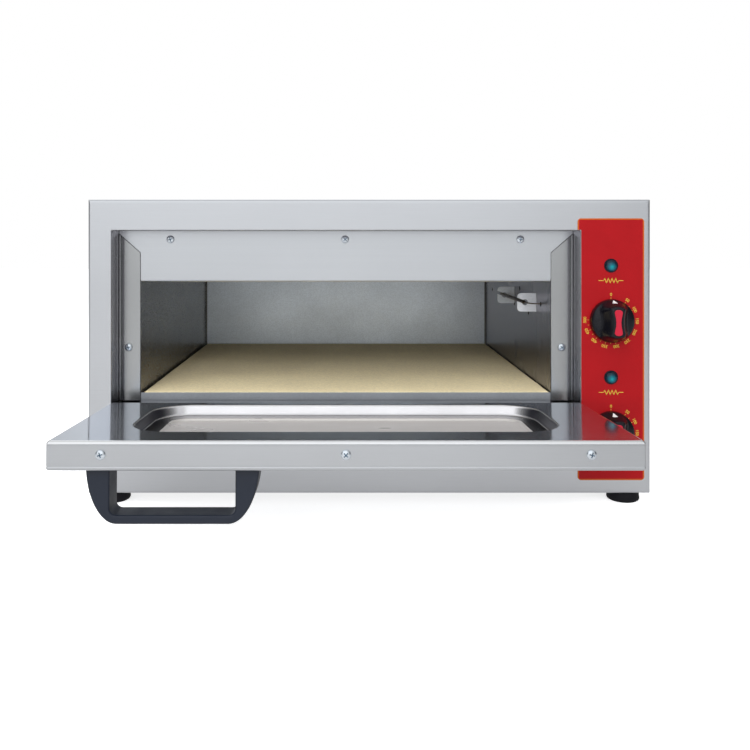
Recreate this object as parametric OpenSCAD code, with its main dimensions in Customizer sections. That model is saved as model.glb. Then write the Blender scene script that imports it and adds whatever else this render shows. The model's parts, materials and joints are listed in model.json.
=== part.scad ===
// Countertop electric pizza oven: one stone deck, a drop-down door shown open, two thermostats.
// Frame: X to the right, Y away from the user, Z up. Z = 0 is the surface that the feet stand on.
// Every length is in millimetres.

/* [Body] */
// Width of the body
body_w = 555; // [550:1:575]
// Depth of the body, from the fascia to the back panel
body_d = 460; // [450:1:500]
// Height of the body without its feet
body_h = 290; // [285:1:310]
// Thickness of the sheet steel
sheet = 1.2; // [1:0.1:1.2]
// Height of the rubber feet
foot_h = 11.5; // [8:0.5:20]
// Radius of the rubber feet
foot_r = 16; // [12:0.5:18]

/* [Mouth] */
// Centre of the mouth, left of the body's centre
mouth_x = -22.9; // [-25:0.1:-22]
// Width of the mouth in the fascia
mouth_w = 463.3; // [455:0.1:464]
// Height of the mouth's top edge above the body's bottom
mouth_top = 259.6; // [255:0.1:265]
// Height of the mouth's sill above the body's bottom
mouth_sill = 82.2; // [80:0.1:82.2]
// Depth of the reveal, from the fascia to the side trims
reveal_d = 26.6; // [26.6:0.1:28]

/* [Chamber] */
// Inner width of the chamber
chamber_w = 418.5; // [410:0.5:418.5]
// Distance from the fascia to the chamber's back wall
chamber_back = 415; // [405:1:418]
// Height of the stone's top above the body's bottom
deck_z = 94.5; // [93:0.5:96]
// Thickness of the stone
stone_t = 14; // [10:1:16]
// Height of the chamber's ceiling above the body's bottom
ceiling_z = 236; // [230:1:240]

/* [Heating] */
// Radius of the heating elements' tube
element_r = 4; // [3:0.25:4]
// Distance between two runs of a heating element
element_pitch = 64; // [60:1:64]

/* [Door] */
// Width of the door
door_w = 461.5; // [450:0.5:461.5]
// Thickness of the door
door_t = 23; // [22:0.5:23]
// Distance from the hinge axis to the door's free edge
door_reach = 184.2; // [182:0.1:184.2]
// How far the open door stays above horizontal, in degrees
door_tilt = 1.7; // [0:0.1:2]

/* [Handle] */
// Length of the handle at the door
handle_l = 134; // [120:1:140]
// How far the handle stands out of the door
handle_out = 41; // [35:1:44]
// Width of the handle's grip
handle_d = 23.5; // [20:0.5:26]

/* [Controls] */
// Distance from the body's centre to the knobs' axis
control_x = 238.4; // [237:0.1:240]
// Height of the upper knob above the body's bottom
knob_top_z = 170.5; // [165:0.5:172]
// Distance between the upper and the lower control group
control_pitch = 110.2; // [108:0.1:112]
// Radius of the knobs
knob_r = 21.4; // [19:0.1:22]
// How far the knobs stand out of the fascia
knob_h = 24; // [20:0.5:26]

/* [Hidden] */

$fn = 48;
gap = 0.3;          // clearance between pieces that only lie side by side
run = 0.05;         // radial clearance of a running fit
far = 600;          // longer than any cut has to be

// Body
half_w = body_w / 2;
inner_w = half_w - sheet;
fascia_lip = 12;                    // depth of the fascia's folded rim
back_in = body_d - sheet;

// Mouth, trims and chamber
mouth_l = mouth_x - mouth_w / 2;
mouth_r = mouth_x + mouth_w / 2;
chamber_l = mouth_x - chamber_w / 2 - 0.25;
chamber_r = mouth_x + chamber_w / 2 - 0.25;
trim_y = reveal_d + sheet;          // front of the top trim, behind the side trims
flange_y = trim_y + sheet;          // front of the chamber's own flanges
trim_low = 209;                     // lower edge of the top trim
side_low = 97;                      // lower end of the side trims
mitre_out = mouth_top - 3.2;        // top of a side trim at its outer edge
mitre_in = 237;                     // top of a side trim at its inner edge
chamber_floor_z = 52;
back_gap_l = 1.4;                   // open joints at the chamber's back corners
back_gap_r = 4.6;
stone_l = chamber_l + 2.9;
stone_r = chamber_r - 1.6;

// Elements: six runs across the chamber, joined by half-circle bends
element_runs = 6;
element_front = 70;
element_l = -190;
element_r_x = 140;
element_low_z = 66;
element_high_z = 222;
element_out = 226;                  // the straight ends reach into the control compartment
last_run_y = element_front + (element_runs - 1) * element_pitch;

// Thermostat bulb in its clips on the right wall
clip_y = [91, 207];
clip_out = 21;
clip_z = 181.4;
clip_half = 10.2;
bulb_x = chamber_r - 10.4;
bulb_r = 3;
capillary_r = 0.9;
wall_hole_y = 70;
low_bulb_z = 74;

// Controls
bulkhead_x = 214;
knob_z = [knob_top_z, knob_top_z - control_pitch];
lamp_z = [for (z = knob_z) z + 54.3];
lamp_r = 6.9;
label_x = [205.5, 271.2];
label_z = [13.2, 271.4];
label_t = 0.4;
label_gap = 0.4;
shaft_r = 3;
thermostat_w = 44;
gland_x = 244;
gland_z = 40;
gland_bore_r = 5.2;

// Door, in its own frame: origin on the hinge axis, lying open, -Y towards the user, +Z the inner face
hinge_y = 5.5;
hinge_z = 73;
door_over = 17.6;                   // inner face above the hinge axis
door_under = door_over - door_t;    // outer face below it
door_rear = -norm([hinge_y, mouth_sill - hinge_z]) - 0.48;  // hinged edge, which swings clear of the sill
mid_z = door_over - 10.6;           // height of the screws in the free edge
door_hw = door_w / 2;
pan_w = 359;
pan_front = 35.4;                   // from the door's free edge to the pan
pan_rear = 14.4;                    // from its hinged edge to the pan
pan_r = 35;
pan_depth = 8.5;
pan_ledge = 17;
pan_step = 3;
handle_x = -135.5;                  // handle's centre, from the door's centre
handle_back = 10;                   // from the door's free edge to the handle
grip_t = 6.6;
leg_w = 17.5;
door_screw_x = 188.7;
pin_r = 2.5;
bush_r = 3.3;
bush_l = 6;
arm_x = 8;                          // from the mouth's side to the hinge arm
arm_t = 3;
arm_tip = 34;
arm_up = 4.5;
arm_down = 3.9;
arm_front = -30;
arm_side = mouth_w / 2 - arm_x;
stop_y = 28;
stop_z = arm_up + pin_r + gap;
bracket_t = 2;

// Feet, screws
foot_x = half_w - 20.6;
foot_y = [20.5, body_d - 20.5];
screw_r = 2;
head_r = 4;
head_h = 1.9;

// The whole part, door open, is centred on the origin from front to back
front_reach = (door_reach + head_h) * cos(door_tilt) - (mid_z - head_r) * sin(door_tilt) - hinge_y;
gland_out = 22;
fascia_y = (front_reach - body_d - gland_out) / 2;

// ---------------------------------------------------------------- helpers

// Box between two corners, each given as [low, high] along X, Y and Z
module slab(x, y, z) {
    translate([x[0], y[0], z[0]])
        cube([x[1] - x[0], y[1] - y[0], z[1] - z[0]]);
}

module rod_x(x, y, z, r) {
    translate([x[0], y, z])
        rotate([0, 90, 0])
            cylinder(r = r, h = x[1] - x[0]);
}

module rod_y(x, y, z, r) {
    translate([x, y[0], z])
        rotate([-90, 0, 0])
            cylinder(r = r, h = y[1] - y[0]);
}

module rod_z(x, y, z, r) {
    translate([x, y, z[0]])
        cylinder(r = r, h = z[1] - z[0]);
}

// Rectangle with round corners, centred
module round_rect(w, h, r) {
    square([w - 2 * r, h], center = true);
    square([w, h - 2 * r], center = true);
    for (sx = [-1, 1], sy = [-1, 1])
        translate([sx * (w / 2 - r), sy * (h / 2 - r)])
            circle(r = r);
}

// Quarter bend from direction a to direction b, round the corner c
module elbow(c, a, b, bend, r) {
    n = cross(a, b);
    m = c + (b - a) * bend;
    multmatrix([[-b[0], a[0], n[0], m[0]], [-b[1], a[1], n[1], m[1]], [-b[2], a[2], n[2], m[2]],
        [0, 0, 0, 1]])
        rotate_extrude(angle = 90, $fn = 32)
            translate([bend, 0])
                circle(r = r);
}

// Round rod through points joined by square corners, each corner a quarter bend
module bent_rod(points, r, bend) {
    last = len(points) - 1;
    dirs = [for (i = [0 : last - 1]) (points[i + 1] - points[i]) / norm(points[i + 1] - points[i])];
    for (i = [0 : last - 1]) {
        d = dirs[i];
        a = points[i] + (i > 0 ? bend : 0) * d;
        b = points[i + 1] - (i < last - 1 ? bend : 0) * d;
        translate(a)
            rotate([0, acos(d[2]), atan2(d[1], d[0])])
                cylinder(r = r, h = norm(b - a), $fn = 32);
    }
    for (i = [1 : last - 1])
        elbow(points[i], dirs[i - 1], dirs[i], bend, r);
}

// Body frame: fascia at Y = 0, body's bottom at Z = 0
module oven() {
    translate([0, fascia_y, foot_h])
        children();
}

// Door frame: door's centre, hinge axis
module door() {
    oven()
        translate([mouth_x, hinge_y, hinge_z])
            rotate([-door_tilt, 0, 0])
                children();
}

// Does a thing on the left and its mirror image on the right of the mouth's centre
module both_sides() {
    for (s = [0, 1])
        translate([mouth_x, 0, 0])
            mirror([s, 0, 0])
                translate([-mouth_x, 0, 0])
                    children();
}

// Pan head screw, its head towards -Y, its head's seat at y
module screw_y(x, y, z, shank) {
    rod_y(x, [y, y + shank], z, screw_r);
    rod_y(x, [y - head_h, y], z, head_r);
}

// ---------------------------------------------------------------- casing

module outer_cover() {
    color([0.74, 0.75, 0.76])
        oven()
            difference() {
                slab([-half_w, half_w], [fascia_lip, body_d], [0, body_h]);
                slab([-inner_w, inner_w], [0, far], [-1, body_h - sheet]);
                for (i = [0 : 5])
                    slab([inner_w - 1, far], [300, 400], [60 + i * 14, 65 + i * 14]);
            }
}

module front_fascia() {
    color([0.78, 0.79, 0.8])
        oven()
            difference() {
                union() {
                    difference() {
                        slab([-half_w, half_w], [0, fascia_lip], [0, body_h]);
                        slab([-inner_w, inner_w], [sheet, far], [sheet, body_h - sheet]);
                    }
                    slab([mouth_l - sheet, mouth_r + sheet], [0, reveal_d],
                        [mouth_sill - sheet, mouth_top + sheet]);
                }
                slab([mouth_l, mouth_r], [-1, far], [mouth_sill, mouth_top]);
                // Shafts and lamps
                for (z = knob_z)
                    rod_y(control_x, [-1, 3], z, shaft_r + 1.5);
                for (z = lamp_z)
                    rod_y(control_x, [-1, 3], z, lamp_r - 2);
                // Slots for the hinge arms
                both_sides()
                    slab([mouth_l + arm_x - 2, mouth_l + arm_x + arm_t + 2], [-1, far],
                        [hinge_z - arm_up - 0.6, mouth_sill + 1]);
            }
}

module base_panel() {
    color([0.6, 0.62, 0.63])
        oven()
            difference() {
                slab([-inner_w, inner_w], [fascia_lip, back_in], [0, sheet]);
                for (sx = [-1, 1], y = foot_y)
                    rod_z(sx * foot_x, y, [-1, 3], screw_r + 0.2);
                for (i = [0 : 5])
                    slab([222, 262], [120 + i * 14, 125 + i * 14], [-1, 3]);
            }
}

module back_panel() {
    color([0.66, 0.67, 0.68])
        oven()
            difference() {
                slab([-inner_w, inner_w], [back_in, body_d], [0, body_h - sheet]);
                rod_y(gland_x, [back_in - 1, body_d + 1], gland_z, 8);
                for (i = [0 : 6])
                    slab([225, 265], [back_in - 1, body_d + 1], [150 + i * 14, 155 + i * 14]);
                for (x = back_screw_x, z = back_screw_z)
                    rod_y(x, [back_in - 1, body_d + 1], z, screw_r + 0.2);
            }
}

module control_bulkhead() {
    color([0.6, 0.62, 0.63])
        oven()
            difference() {
                slab([bulkhead_x, bulkhead_x + sheet], [fascia_lip + gap, back_in],
                    [sheet, body_h - sheet]);
                wall_holes(element_r + 1);
            }
}

// Control label: notched where it runs beside the mouth
module control_label() {
    label_w = label_x[1] - label_x[0];
    label_h = label_z[1] - label_z[0];
    color([0.7, 0.11, 0.11])
        oven()
            difference() {
                translate([label_x[0] + label_w / 2, 0, label_z[0] + label_h / 2])
                    rotate([90, 0, 0])
                        linear_extrude(label_t)
                            round_rect(label_w, label_h, 3.5);
                slab([0, mouth_r + label_gap], [-2, 2], [mouth_sill - label_gap, mouth_top + label_gap]);
                for (z = knob_z)
                    rod_y(control_x, [-2, 2], z, shaft_r + 1.5);
                for (z = lamp_z)
                    rod_y(control_x, [-2, 2], z, lamp_r - 2);
            }
}

// ---------------------------------------------------------------- trims round the chamber

module top_trim() {
    color([0.75, 0.76, 0.77])
        oven()
            difference() {
                union() {
                    slab([mouth_l + gap, mouth_r - gap], [trim_y, flange_y], [trim_low, mouth_top - gap]);
                    slab([chamber_l + 0.2, chamber_r - 0.2], [trim_y, trim_y + 12],
                        [trim_low, trim_low + sheet]);
                }
                for (x = trim_screw_x)
                    rod_y(x, [trim_y - 1, flange_y + 1], trim_screw_z, screw_r + 0.2);
            }
}

// Side trim between two X values; the first one is its outer edge
module side_trim(outer, inner) {
    difference() {
        translate([0, trim_y, 0])
            rotate([90, 0, 0])
                linear_extrude(sheet)
                    polygon([[outer, side_low], [inner, side_low], [inner, mitre_in], [outer, mitre_out]]);
        for (x = side_screw_x)
            rod_y(x, [reveal_d - 1, trim_y + 1], side_screw_z, screw_r + 0.2);
    }
}

module side_trim_left() {
    color([0.7, 0.71, 0.72])
        oven()
            side_trim(mouth_l + 0.2, chamber_l);
}

module side_trim_right() {
    color([0.7, 0.71, 0.72])
        oven()
            side_trim(mouth_r - 0.2, chamber_r);
}

// ---------------------------------------------------------------- chamber

// Holes for the element ends and the capillary, through every wall on the control side
module wall_holes(r) {
    for (y = [element_front, last_run_y], z = [element_low_z, element_high_z])
        rod_x([chamber_r - 1, bulkhead_x + 3], y, z, r);
    for (z = [clip_z, low_bulb_z])
        rod_x([chamber_r - 1, bulkhead_x + 3], wall_hole_y, z, 2.2);
}

module chamber_left_wall() {
    color([0.5, 0.51, 0.52])
        oven()
            difference() {
                union() {
                    slab([chamber_l - sheet, chamber_l], [flange_y, chamber_back + sheet],
                        [chamber_floor_z + sheet, ceiling_z]);
                    slab([mouth_l + 1, chamber_l], [flange_y, flange_y + sheet], [side_low + 2, ceiling_z]);
                }
                rod_y(side_screw_x[0], [flange_y - 1, flange_y + 3], side_screw_z, screw_r + 0.2);
            }
}

module chamber_right_wall() {
    color([0.5, 0.51, 0.52])
        oven()
            difference() {
                union() {
                    slab([chamber_r, chamber_r + sheet], [flange_y, chamber_back + sheet],
                        [chamber_floor_z + sheet, ceiling_z]);
                    slab([chamber_r, mouth_r - 1], [flange_y, flange_y + sheet], [side_low + 2, ceiling_z]);
                }
                wall_holes(element_r + 1);
                rod_y(side_screw_x[1], [flange_y - 1, flange_y + 3], side_screw_z, screw_r + 0.2);
            }
}

module chamber_ceiling() {
    color([0.52, 0.54, 0.56])
        oven()
            difference() {
                union() {
                    slab([chamber_l - sheet, chamber_r + sheet], [flange_y, chamber_back + sheet],
                        [ceiling_z, ceiling_z + sheet]);
                    slab([mouth_l + 1, mouth_r - 1], [flange_y, flange_y + sheet],
                        [ceiling_z, mouth_top - 1]);
                }
                for (x = trim_screw_x)
                    rod_y(x, [flange_y - 1, flange_y + 3], trim_screw_z, screw_r + 0.2);
            }
}

module chamber_floor() {
    color([0.52, 0.54, 0.56])
        oven()
            slab([chamber_l - sheet, chamber_r + sheet], [trim_y, chamber_back + sheet],
                [chamber_floor_z, chamber_floor_z + sheet]);
}

module chamber_back_wall() {
    color([0.48, 0.52, 0.54])
        oven()
            slab([chamber_l + back_gap_l, chamber_r - back_gap_r], [chamber_back, chamber_back + sheet],
                [chamber_floor_z + sheet, ceiling_z]);
}

module deck_front() {
    color([0.56, 0.57, 0.58])
        oven() {
            slab([chamber_l + 0.2, chamber_r - 0.2], [flange_y, flange_y + sheet],
                [chamber_floor_z + sheet, deck_z - 0.3]);
            slab([chamber_l + 0.2, chamber_r - 0.2], [trim_y, flange_y], [deck_z - 7.8, deck_z - 0.3]);
        }
}

module stone_deck() {
    color([0.8, 0.73, 0.56])
        oven()
            slab([stone_l, stone_r], [flange_y + sheet + 0.2, chamber_back - 3],
                [deck_z - stone_t, deck_z]);
}

// Two angle rails that carry the stone
module deck_rails() {
    rail_z = deck_z - stone_t;
    color([0.5, 0.51, 0.52])
        oven()
            both_sides() {
                slab([chamber_l + 0.5, chamber_l + 20], [32, chamber_back - 3], [rail_z - sheet, rail_z]);
                slab([chamber_l + 0.5, chamber_l + 0.5 + sheet], [82, chamber_back - 15],
                    [rail_z - 7, rail_z]);
            }
}

// ---------------------------------------------------------------- heating

// Heating element: straight runs along X, joined by half circles, with both ends through the right wall
module element(z) {
    for (i = [0 : element_runs - 1]) {
        y = element_front + i * element_pitch;
        end = (i == 0 || i == element_runs - 1) ? element_out : element_r_x;
        rod_x([element_l, end], y, z, element_r);
    }
    for (i = [0 : element_runs - 2]) {
        on_left = i % 2 == 0;
        translate([on_left ? element_l : element_r_x, element_front + (i + 0.5) * element_pitch, z])
            rotate([0, 0, on_left ? 90 : -90])
                rotate_extrude(angle = 180)
                    translate([element_pitch / 2, 0])
                        circle(r = element_r);
    }
}

module lower_element() {
    color([0.25, 0.24, 0.24])
        oven()
            element(element_low_z);
}

module upper_element() {
    color([0.25, 0.24, 0.24])
        oven()
            element(element_high_z);
}

// Two bars across the runs, each with three legs to the panel that carries it
module element_bars(bar, panel) {
    low = min(bar[0], panel);
    high = max(bar[1], panel);
    for (x = [-120, 70]) {
        slab([x, x + 10], [52, 408], bar);
        for (y = [94, 222, 350])
            slab([x, x + 10], [y, y + 12], [low, high]);
    }
}

module lower_element_supports() {
    top = element_low_z - element_r;
    color([0.55, 0.56, 0.57])
        oven()
            element_bars([top - 2, top], chamber_floor_z + sheet);
}

module upper_element_supports() {
    low = element_high_z + element_r;
    color([0.55, 0.56, 0.57])
        oven()
            element_bars([low, low + 2], ceiling_z);
}

// ---------------------------------------------------------------- temperature sensing

// Two drilled tabs that stand out of the right wall, each with a foot on the wall
module bulb_clips() {
    color([0.78, 0.79, 0.8])
        oven()
            for (y = clip_y)
                difference() {
                    union() {
                        slab([chamber_r - clip_out, chamber_r], [y, y + sheet],
                            [clip_z - clip_half, clip_z + clip_half]);
                        slab([chamber_r - sheet, chamber_r], [y, y + 12],
                            [clip_z - clip_half, clip_z + clip_half]);
                    }
                    rod_y(bulb_x, [y - 1, y + 3], clip_z, 3.4);
                }
}

// Bulb along Y and its capillary, which leaves through the right wall
module sensor_bulb(x, y, z) {
    rod_y(x, y, z, bulb_r);
    bent_rod([[x, y[0], z], [x, wall_hole_y, z], [bulkhead_x + 8, wall_hole_y, z]], capillary_r, 5);
}

module upper_sensor_bulb() {
    color([0.2, 0.19, 0.19])
        oven()
            sensor_bulb(bulb_x, [96, 226], clip_z);
}

module lower_sensor_bulb() {
    color([0.2, 0.19, 0.19])
        oven()
            sensor_bulb(bulb_x - 12, [96, 226], low_bulb_z);
}

// ---------------------------------------------------------------- insulation

batt_back = back_in - 2;            // clear of the back panel's screws

module batt(x, y, z) {
    color([0.72, 0.68, 0.5])
        oven()
            slab(x, y, z);
}

module insulation_top() {
    batt([chamber_l, chamber_r], [40, chamber_back], [ceiling_z + sheet + gap, body_h - sheet - gap]);
}

module insulation_left() {
    difference() {
        batt([-inner_w + gap, chamber_l - sheet - gap], [52, batt_back],
            [sheet + gap, body_h - sheet - gap]);
        oven()
            rod_z(-foot_x, foot_y[1], [0, sheet + 8], screw_r + gap);
    }
}

module insulation_right() {
    difference() {
        batt([chamber_r + sheet + gap, bulkhead_x - gap], [52, batt_back],
            [sheet + gap, body_h - sheet - gap]);
        oven()
            wall_holes(element_r + 1);
    }
}

module insulation_back() {
    batt([chamber_l, chamber_r], [chamber_back + sheet + gap, batt_back],
        [sheet + gap, body_h - sheet - gap]);
}

module insulation_bottom() {
    batt([chamber_l, chamber_r], [flange_y, chamber_back], [sheet + gap, chamber_floor_z - gap]);
}

// ---------------------------------------------------------------- controls

// Thermostat body behind the fascia, with a blind bore for its shaft and three tags at its back
module thermostat(z) {
    half = thermostat_w / 2;
    color([0.85, 0.84, 0.8])
        oven()
            difference() {
                union() {
                    slab([control_x - half, control_x + half], [sheet, sheet + 1.5], [z - 14, z + 14]);
                    slab([control_x - half + 4, control_x + half - 4], [sheet + 1.5, 36], [z - 18, z + 18]);
                    for (i = [-1 : 1])
                        slab([control_x + i * 9 - 0.4, control_x + i * 9 + 0.4], [36, 46], [z - 3, z + 3]);
                }
                rod_y(control_x, [0, 16], z, shaft_r + run);
            }
}

module thermostat_upper() {
    thermostat(knob_z[0]);
}

module thermostat_lower() {
    thermostat(knob_z[1]);
}

// Domed lenses: a spherical cap on a short collar, and a stem through the fascia
module lamp_lenses() {
    cap_h = 3;
    cap_r = (lamp_r * lamp_r + cap_h * cap_h) / (2 * cap_h);
    color([0.1, 0.42, 0.44])
        oven()
            for (z = lamp_z)
                translate([control_x, -label_t, z])
                    rotate([90, 0, 0]) {
                        cylinder(r = lamp_r, h = 1);
                        translate([0, 0, 1])
                            intersection() {
                                cylinder(r = lamp_r, h = cap_h);
                                translate([0, 0, cap_h - cap_r])
                                    sphere(r = cap_r);
                            }
                        translate([0, 0, -label_t - 2])
                            cylinder(r = lamp_r - 2.4, h = 3);
                    }
}

module lamp_bodies() {
    color([0.9, 0.9, 0.88])
        oven()
            for (z = lamp_z) {
                rod_y(control_x, [sheet + 0.8, 22], z, 6.5);
                for (s = [-1, 1])
                    slab([control_x + s * 3 - 0.4, control_x + s * 3 + 0.4], [22, 30], [z - 2, z + 2]);
            }
}

// Ceramic terminal block with three pairs of screws
module terminal_block() {
    color([0.9, 0.88, 0.82])
        oven()
            difference() {
                slab([224, 264], [396, 420], [sheet, 22]);
                for (x = [231, 244, 257], y = [402, 414])
                    rod_z(x, y, [18, 23], 2.6);
            }
}

module wiring() {
    block_y = 396;
    tag_y = 46.5;
    tag_x = control_x + 9;
    color([0.55, 0.12, 0.1])
        oven() {
            bent_rod([[231, block_y, 12], [231, 340, 12], [270, 340, 12], [270, 60, 12], [270, 60, lamp_z[0]],
                [control_x, 60, lamp_z[0]], [control_x, 31, lamp_z[0]]], 1.5, 4);
            bent_rod([[244, block_y, 18], [244, 350, 18], [264, 350, 18], [264, 66, 18], [264, 66, knob_z[0]],
                [tag_x, 66, knob_z[0]], [tag_x, tag_y, knob_z[0]]], 1.5, 4);
            bent_rod([[257, block_y, 6], [257, 56, 6], [257, 56, knob_z[1]], [tag_x, 56, knob_z[1]],
                [tag_x, tag_y, knob_z[1]]], 1.5, 4);
        }
}

module cable_gland() {
    color([0.15, 0.15, 0.16])
        oven()
            translate([gland_x, body_d, gland_z])
                rotate([-90, 0, 0])
                    difference() {
                        union() {
                            translate([0, 0, -sheet - 9])
                                cylinder(r = 7.8, h = sheet + 10);
                            cylinder(r = 12, h = 6, $fn = 6);
                            translate([0, 0, 6])
                                cylinder(r = 9.5, h = 4);
                            translate([0, 0, 10])
                                cylinder(r = 11, h = gland_out - 10);
                        }
                        translate([0, 0, -20])
                            cylinder(r = gland_bore_r, h = 60);
                    }
}

module gland_nut() {
    color([0.15, 0.15, 0.16])
        oven()
            translate([gland_x, back_in - 5, gland_z])
                rotate([-90, 0, 0])
                    difference() {
                        cylinder(r = 12, h = 5, $fn = 6);
                        translate([0, 0, -1])
                            cylinder(r = 8, h = 8);
                    }
}

// ---------------------------------------------------------------- hinge, body side

// Cheek beside the mouth's reveal on a foot; the foot runs outwards from foot_x to the cheek
module hinge_bracket(foot) {
    x = mouth_l - sheet - gap;
    difference() {
        union() {
            slab([x - bracket_t, x], [sheet + 0.4, 45], [12, 96]);
            slab([x - bracket_t, x], [26, 45], [sheet, 12]);
            slab(foot, [26, 45], [sheet, sheet + bracket_t]);
        }
        rod_x([x - 5, x + 5], hinge_y, hinge_z, pin_r);
        hinge_frame()
            rod_x([x - 5, x + 5], stop_y, stop_z, pin_r);
    }
}

// Hinge axis at the open door's angle
module hinge_frame() {
    translate([0, hinge_y, hinge_z])
        rotate([-door_tilt, 0, 0])
            children();
}

module hinge_bracket_left() {
    x = mouth_l - sheet - gap;
    color([0.6, 0.6, 0.58])
        oven()
            hinge_bracket([x - 16, x]);
}

module hinge_bracket_right() {
    x = mouth_l - sheet - gap;
    color([0.6, 0.6, 0.58])
        oven()
            translate([mouth_x, 0, 0])
                mirror([1, 0, 0])
                    translate([-mouth_x, 0, 0])
                        hinge_bracket([x - bracket_t, x + 14]);
}

module hinge_pins() {
    x = mouth_l - sheet - gap;
    color([0.7, 0.7, 0.7])
        oven()
            both_sides() {
                rod_x([x - bracket_t - 1, mouth_l + arm_x + arm_t + 4], hinge_y, hinge_z, pin_r);
                rod_x([x - bracket_t - 1.3, x - bracket_t], hinge_y, hinge_z, pin_r + 1.4);
            }
}

module stop_pins() {
    x = mouth_l - sheet - gap;
    color([0.7, 0.7, 0.7])
        oven()
            both_sides()
                hinge_frame()
                    rod_x([x - bracket_t, mouth_l + arm_x + arm_t + 3], stop_y, stop_z, pin_r);
}

// ---------------------------------------------------------------- feet and screws

trim_screw_x = [-202, -23.8, 155];
trim_screw_z = 250.6;
side_screw_x = [-244.4, 196.8];
side_screw_z = 140.6;
back_screw_x = [-266, -90, 90, 207];
back_screw_z = [10, 278];

module feet() {
    color([0.08, 0.08, 0.09])
        oven()
            for (sx = [-1, 1], y = foot_y)
                translate([sx * foot_x, y, -foot_h])
                    rotate_extrude()
                        polygon([[4.6, 0], [foot_r - 2, 0], [foot_r - 0.6, 0.8], [foot_r, 2.4],
                            [foot_r - 1, foot_h], [screw_r + 0.2, foot_h], [screw_r + 0.2, 5], [4.6, 5]]);
}

module foot_screws() {
    color([0.7, 0.7, 0.72])
        oven()
            for (sx = [-1, 1], y = foot_y) {
                rod_z(sx * foot_x, y, [5 - foot_h, sheet + 7], screw_r);
                rod_z(sx * foot_x, y, [3 - foot_h, 5 - foot_h], head_r);
            }
}

module trim_screws() {
    color([0.8, 0.81, 0.82])
        oven() {
            for (x = trim_screw_x)
                screw_y(x, trim_y, trim_screw_z, 9);
            for (x = side_screw_x)
                screw_y(x, reveal_d, side_screw_z, 9);
        }
}

module back_screws() {
    color([0.8, 0.81, 0.82])
        oven()
            for (x = back_screw_x, z = back_screw_z) {
                rod_y(x, [body_d, body_d + head_h], z, head_r);
                rod_y(x, [body_d - 2 * sheet + 0.2, body_d], z, screw_r);
            }
}

// ---------------------------------------------------------------- door

// Outer skin: a tray with its open side up
module door_outer_skin() {
    color([0.74, 0.75, 0.76])
        door()
            difference() {
                slab([-door_hw, door_hw], [-door_reach, door_rear], [door_under, door_over - sheet]);
                slab([-door_hw + sheet, door_hw - sheet], [-door_reach + sheet, door_rear - sheet],
                    [door_under + sheet, door_over + 1]);
                for (x = [-1 : 1])
                    rod_y(x * door_screw_x, [-door_reach - 1, -door_reach + 3], mid_z, screw_r + 0.2);
                for (s = [-1, 1])
                    rod_z(handle_x + s * handle_screw_x, handle_y,
                        [door_under - 1, door_under + 3], screw_r + 0.5);
                // Slots for the hinge arms
                for (s = [0, 1])
                    mirror([s, 0, 0])
                        slab([-arm_side - gap, -arm_side + arm_t + gap], [door_rear - 2, door_rear + 1],
                            [-arm_down - gap, arm_up + gap]);
            }
}

pan_y = [-door_reach + pan_front, door_rear - pan_rear];
pan_cy = (pan_y[0] + pan_y[1]) / 2;
pan_d = pan_y[1] - pan_y[0];
handle_screw_x = handle_l / 2 - leg_w / 2;
handle_y = -door_reach + handle_back + handle_d / 2;

// One step of the pressed pan, cut or filled, from a depth up
module pan_block(inset, depth, height) {
    translate([0, pan_cy, door_over - depth])
        linear_extrude(height)
            round_rect(pan_w - 2 * inset, pan_d - 2 * inset, max(pan_r - inset, 4));
}

// Inner panel: a flat sheet with a pan of two steps pressed into it
module door_inner_panel() {
    color([0.72, 0.73, 0.74])
        door()
            difference() {
                union() {
                    slab([-door_hw, door_hw], [-door_reach, door_rear], [door_over - sheet, door_over]);
                    pan_block(-sheet, pan_depth + sheet, pan_depth);
                    pan_block(pan_ledge - sheet, pan_depth + pan_step + sheet, pan_depth);
                }
                pan_block(0, pan_depth, pan_depth + 1);
                pan_block(pan_ledge, pan_depth + pan_step, pan_depth);
            }
}

// Batt below the pan, thicker on both sides of it
module door_insulation() {
    low = door_under + sheet + gap;
    floor_z = door_over - pan_depth - pan_step - sheet - gap;
    high = door_over - sheet - gap;
    side = door_hw - sheet - 24;
    rear = door_rear - sheet - 2;
    edge = pan_w / 2 + sheet + gap;
    front = handle_y + handle_d / 2 + 4;
    color([0.72, 0.68, 0.5])
        door() {
            slab([-side, side], [front, rear], [low, floor_z]);
            for (s = [-1, 1])
                slab([min(s * side, s * edge), max(s * side, s * edge)], [front, rear], [floor_z, high]);
        }
}

// Handle outline: straight window, sides that curve in to a flat grip
module handle_outline() {
    arc_r = 76;
    arc_in = arc_r - handle_l / 2;
    window_w = handle_l - 2 * leg_w;
    difference() {
        intersection() {
            translate([arc_in, 11])
                circle(r = arc_r, $fn = 96);
            translate([-arc_in, 11])
                circle(r = arc_r, $fn = 96);
            translate([-handle_l / 2, -handle_out])
                square([handle_l, handle_out]);
        }
        translate([0, -(handle_out - grip_t) / 2 + 3])
            round_rect(window_w, handle_out - grip_t + 6, 3);
    }
}

module door_handle() {
    color([0.2, 0.22, 0.26])
        door()
            difference() {
                translate([handle_x, handle_y + handle_d / 2, door_under])
                    rotate([90, 0, 0])
                        linear_extrude(handle_d)
                            handle_outline();
                for (s = [-1, 1])
                    rod_z(handle_x + s * handle_screw_x, handle_y,
                        [door_under - 14, door_under + 1], screw_r + 0.1);
            }
}

module handle_screws() {
    color([0.7, 0.7, 0.72])
        door()
            for (s = [-1, 1]) {
                rod_z(handle_x + s * handle_screw_x, handle_y,
                    [door_under - 12, door_under + sheet], screw_r);
                rod_z(handle_x + s * handle_screw_x, handle_y,
                    [door_under + sheet, door_under + sheet + 2.4], head_r);
            }
}

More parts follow.
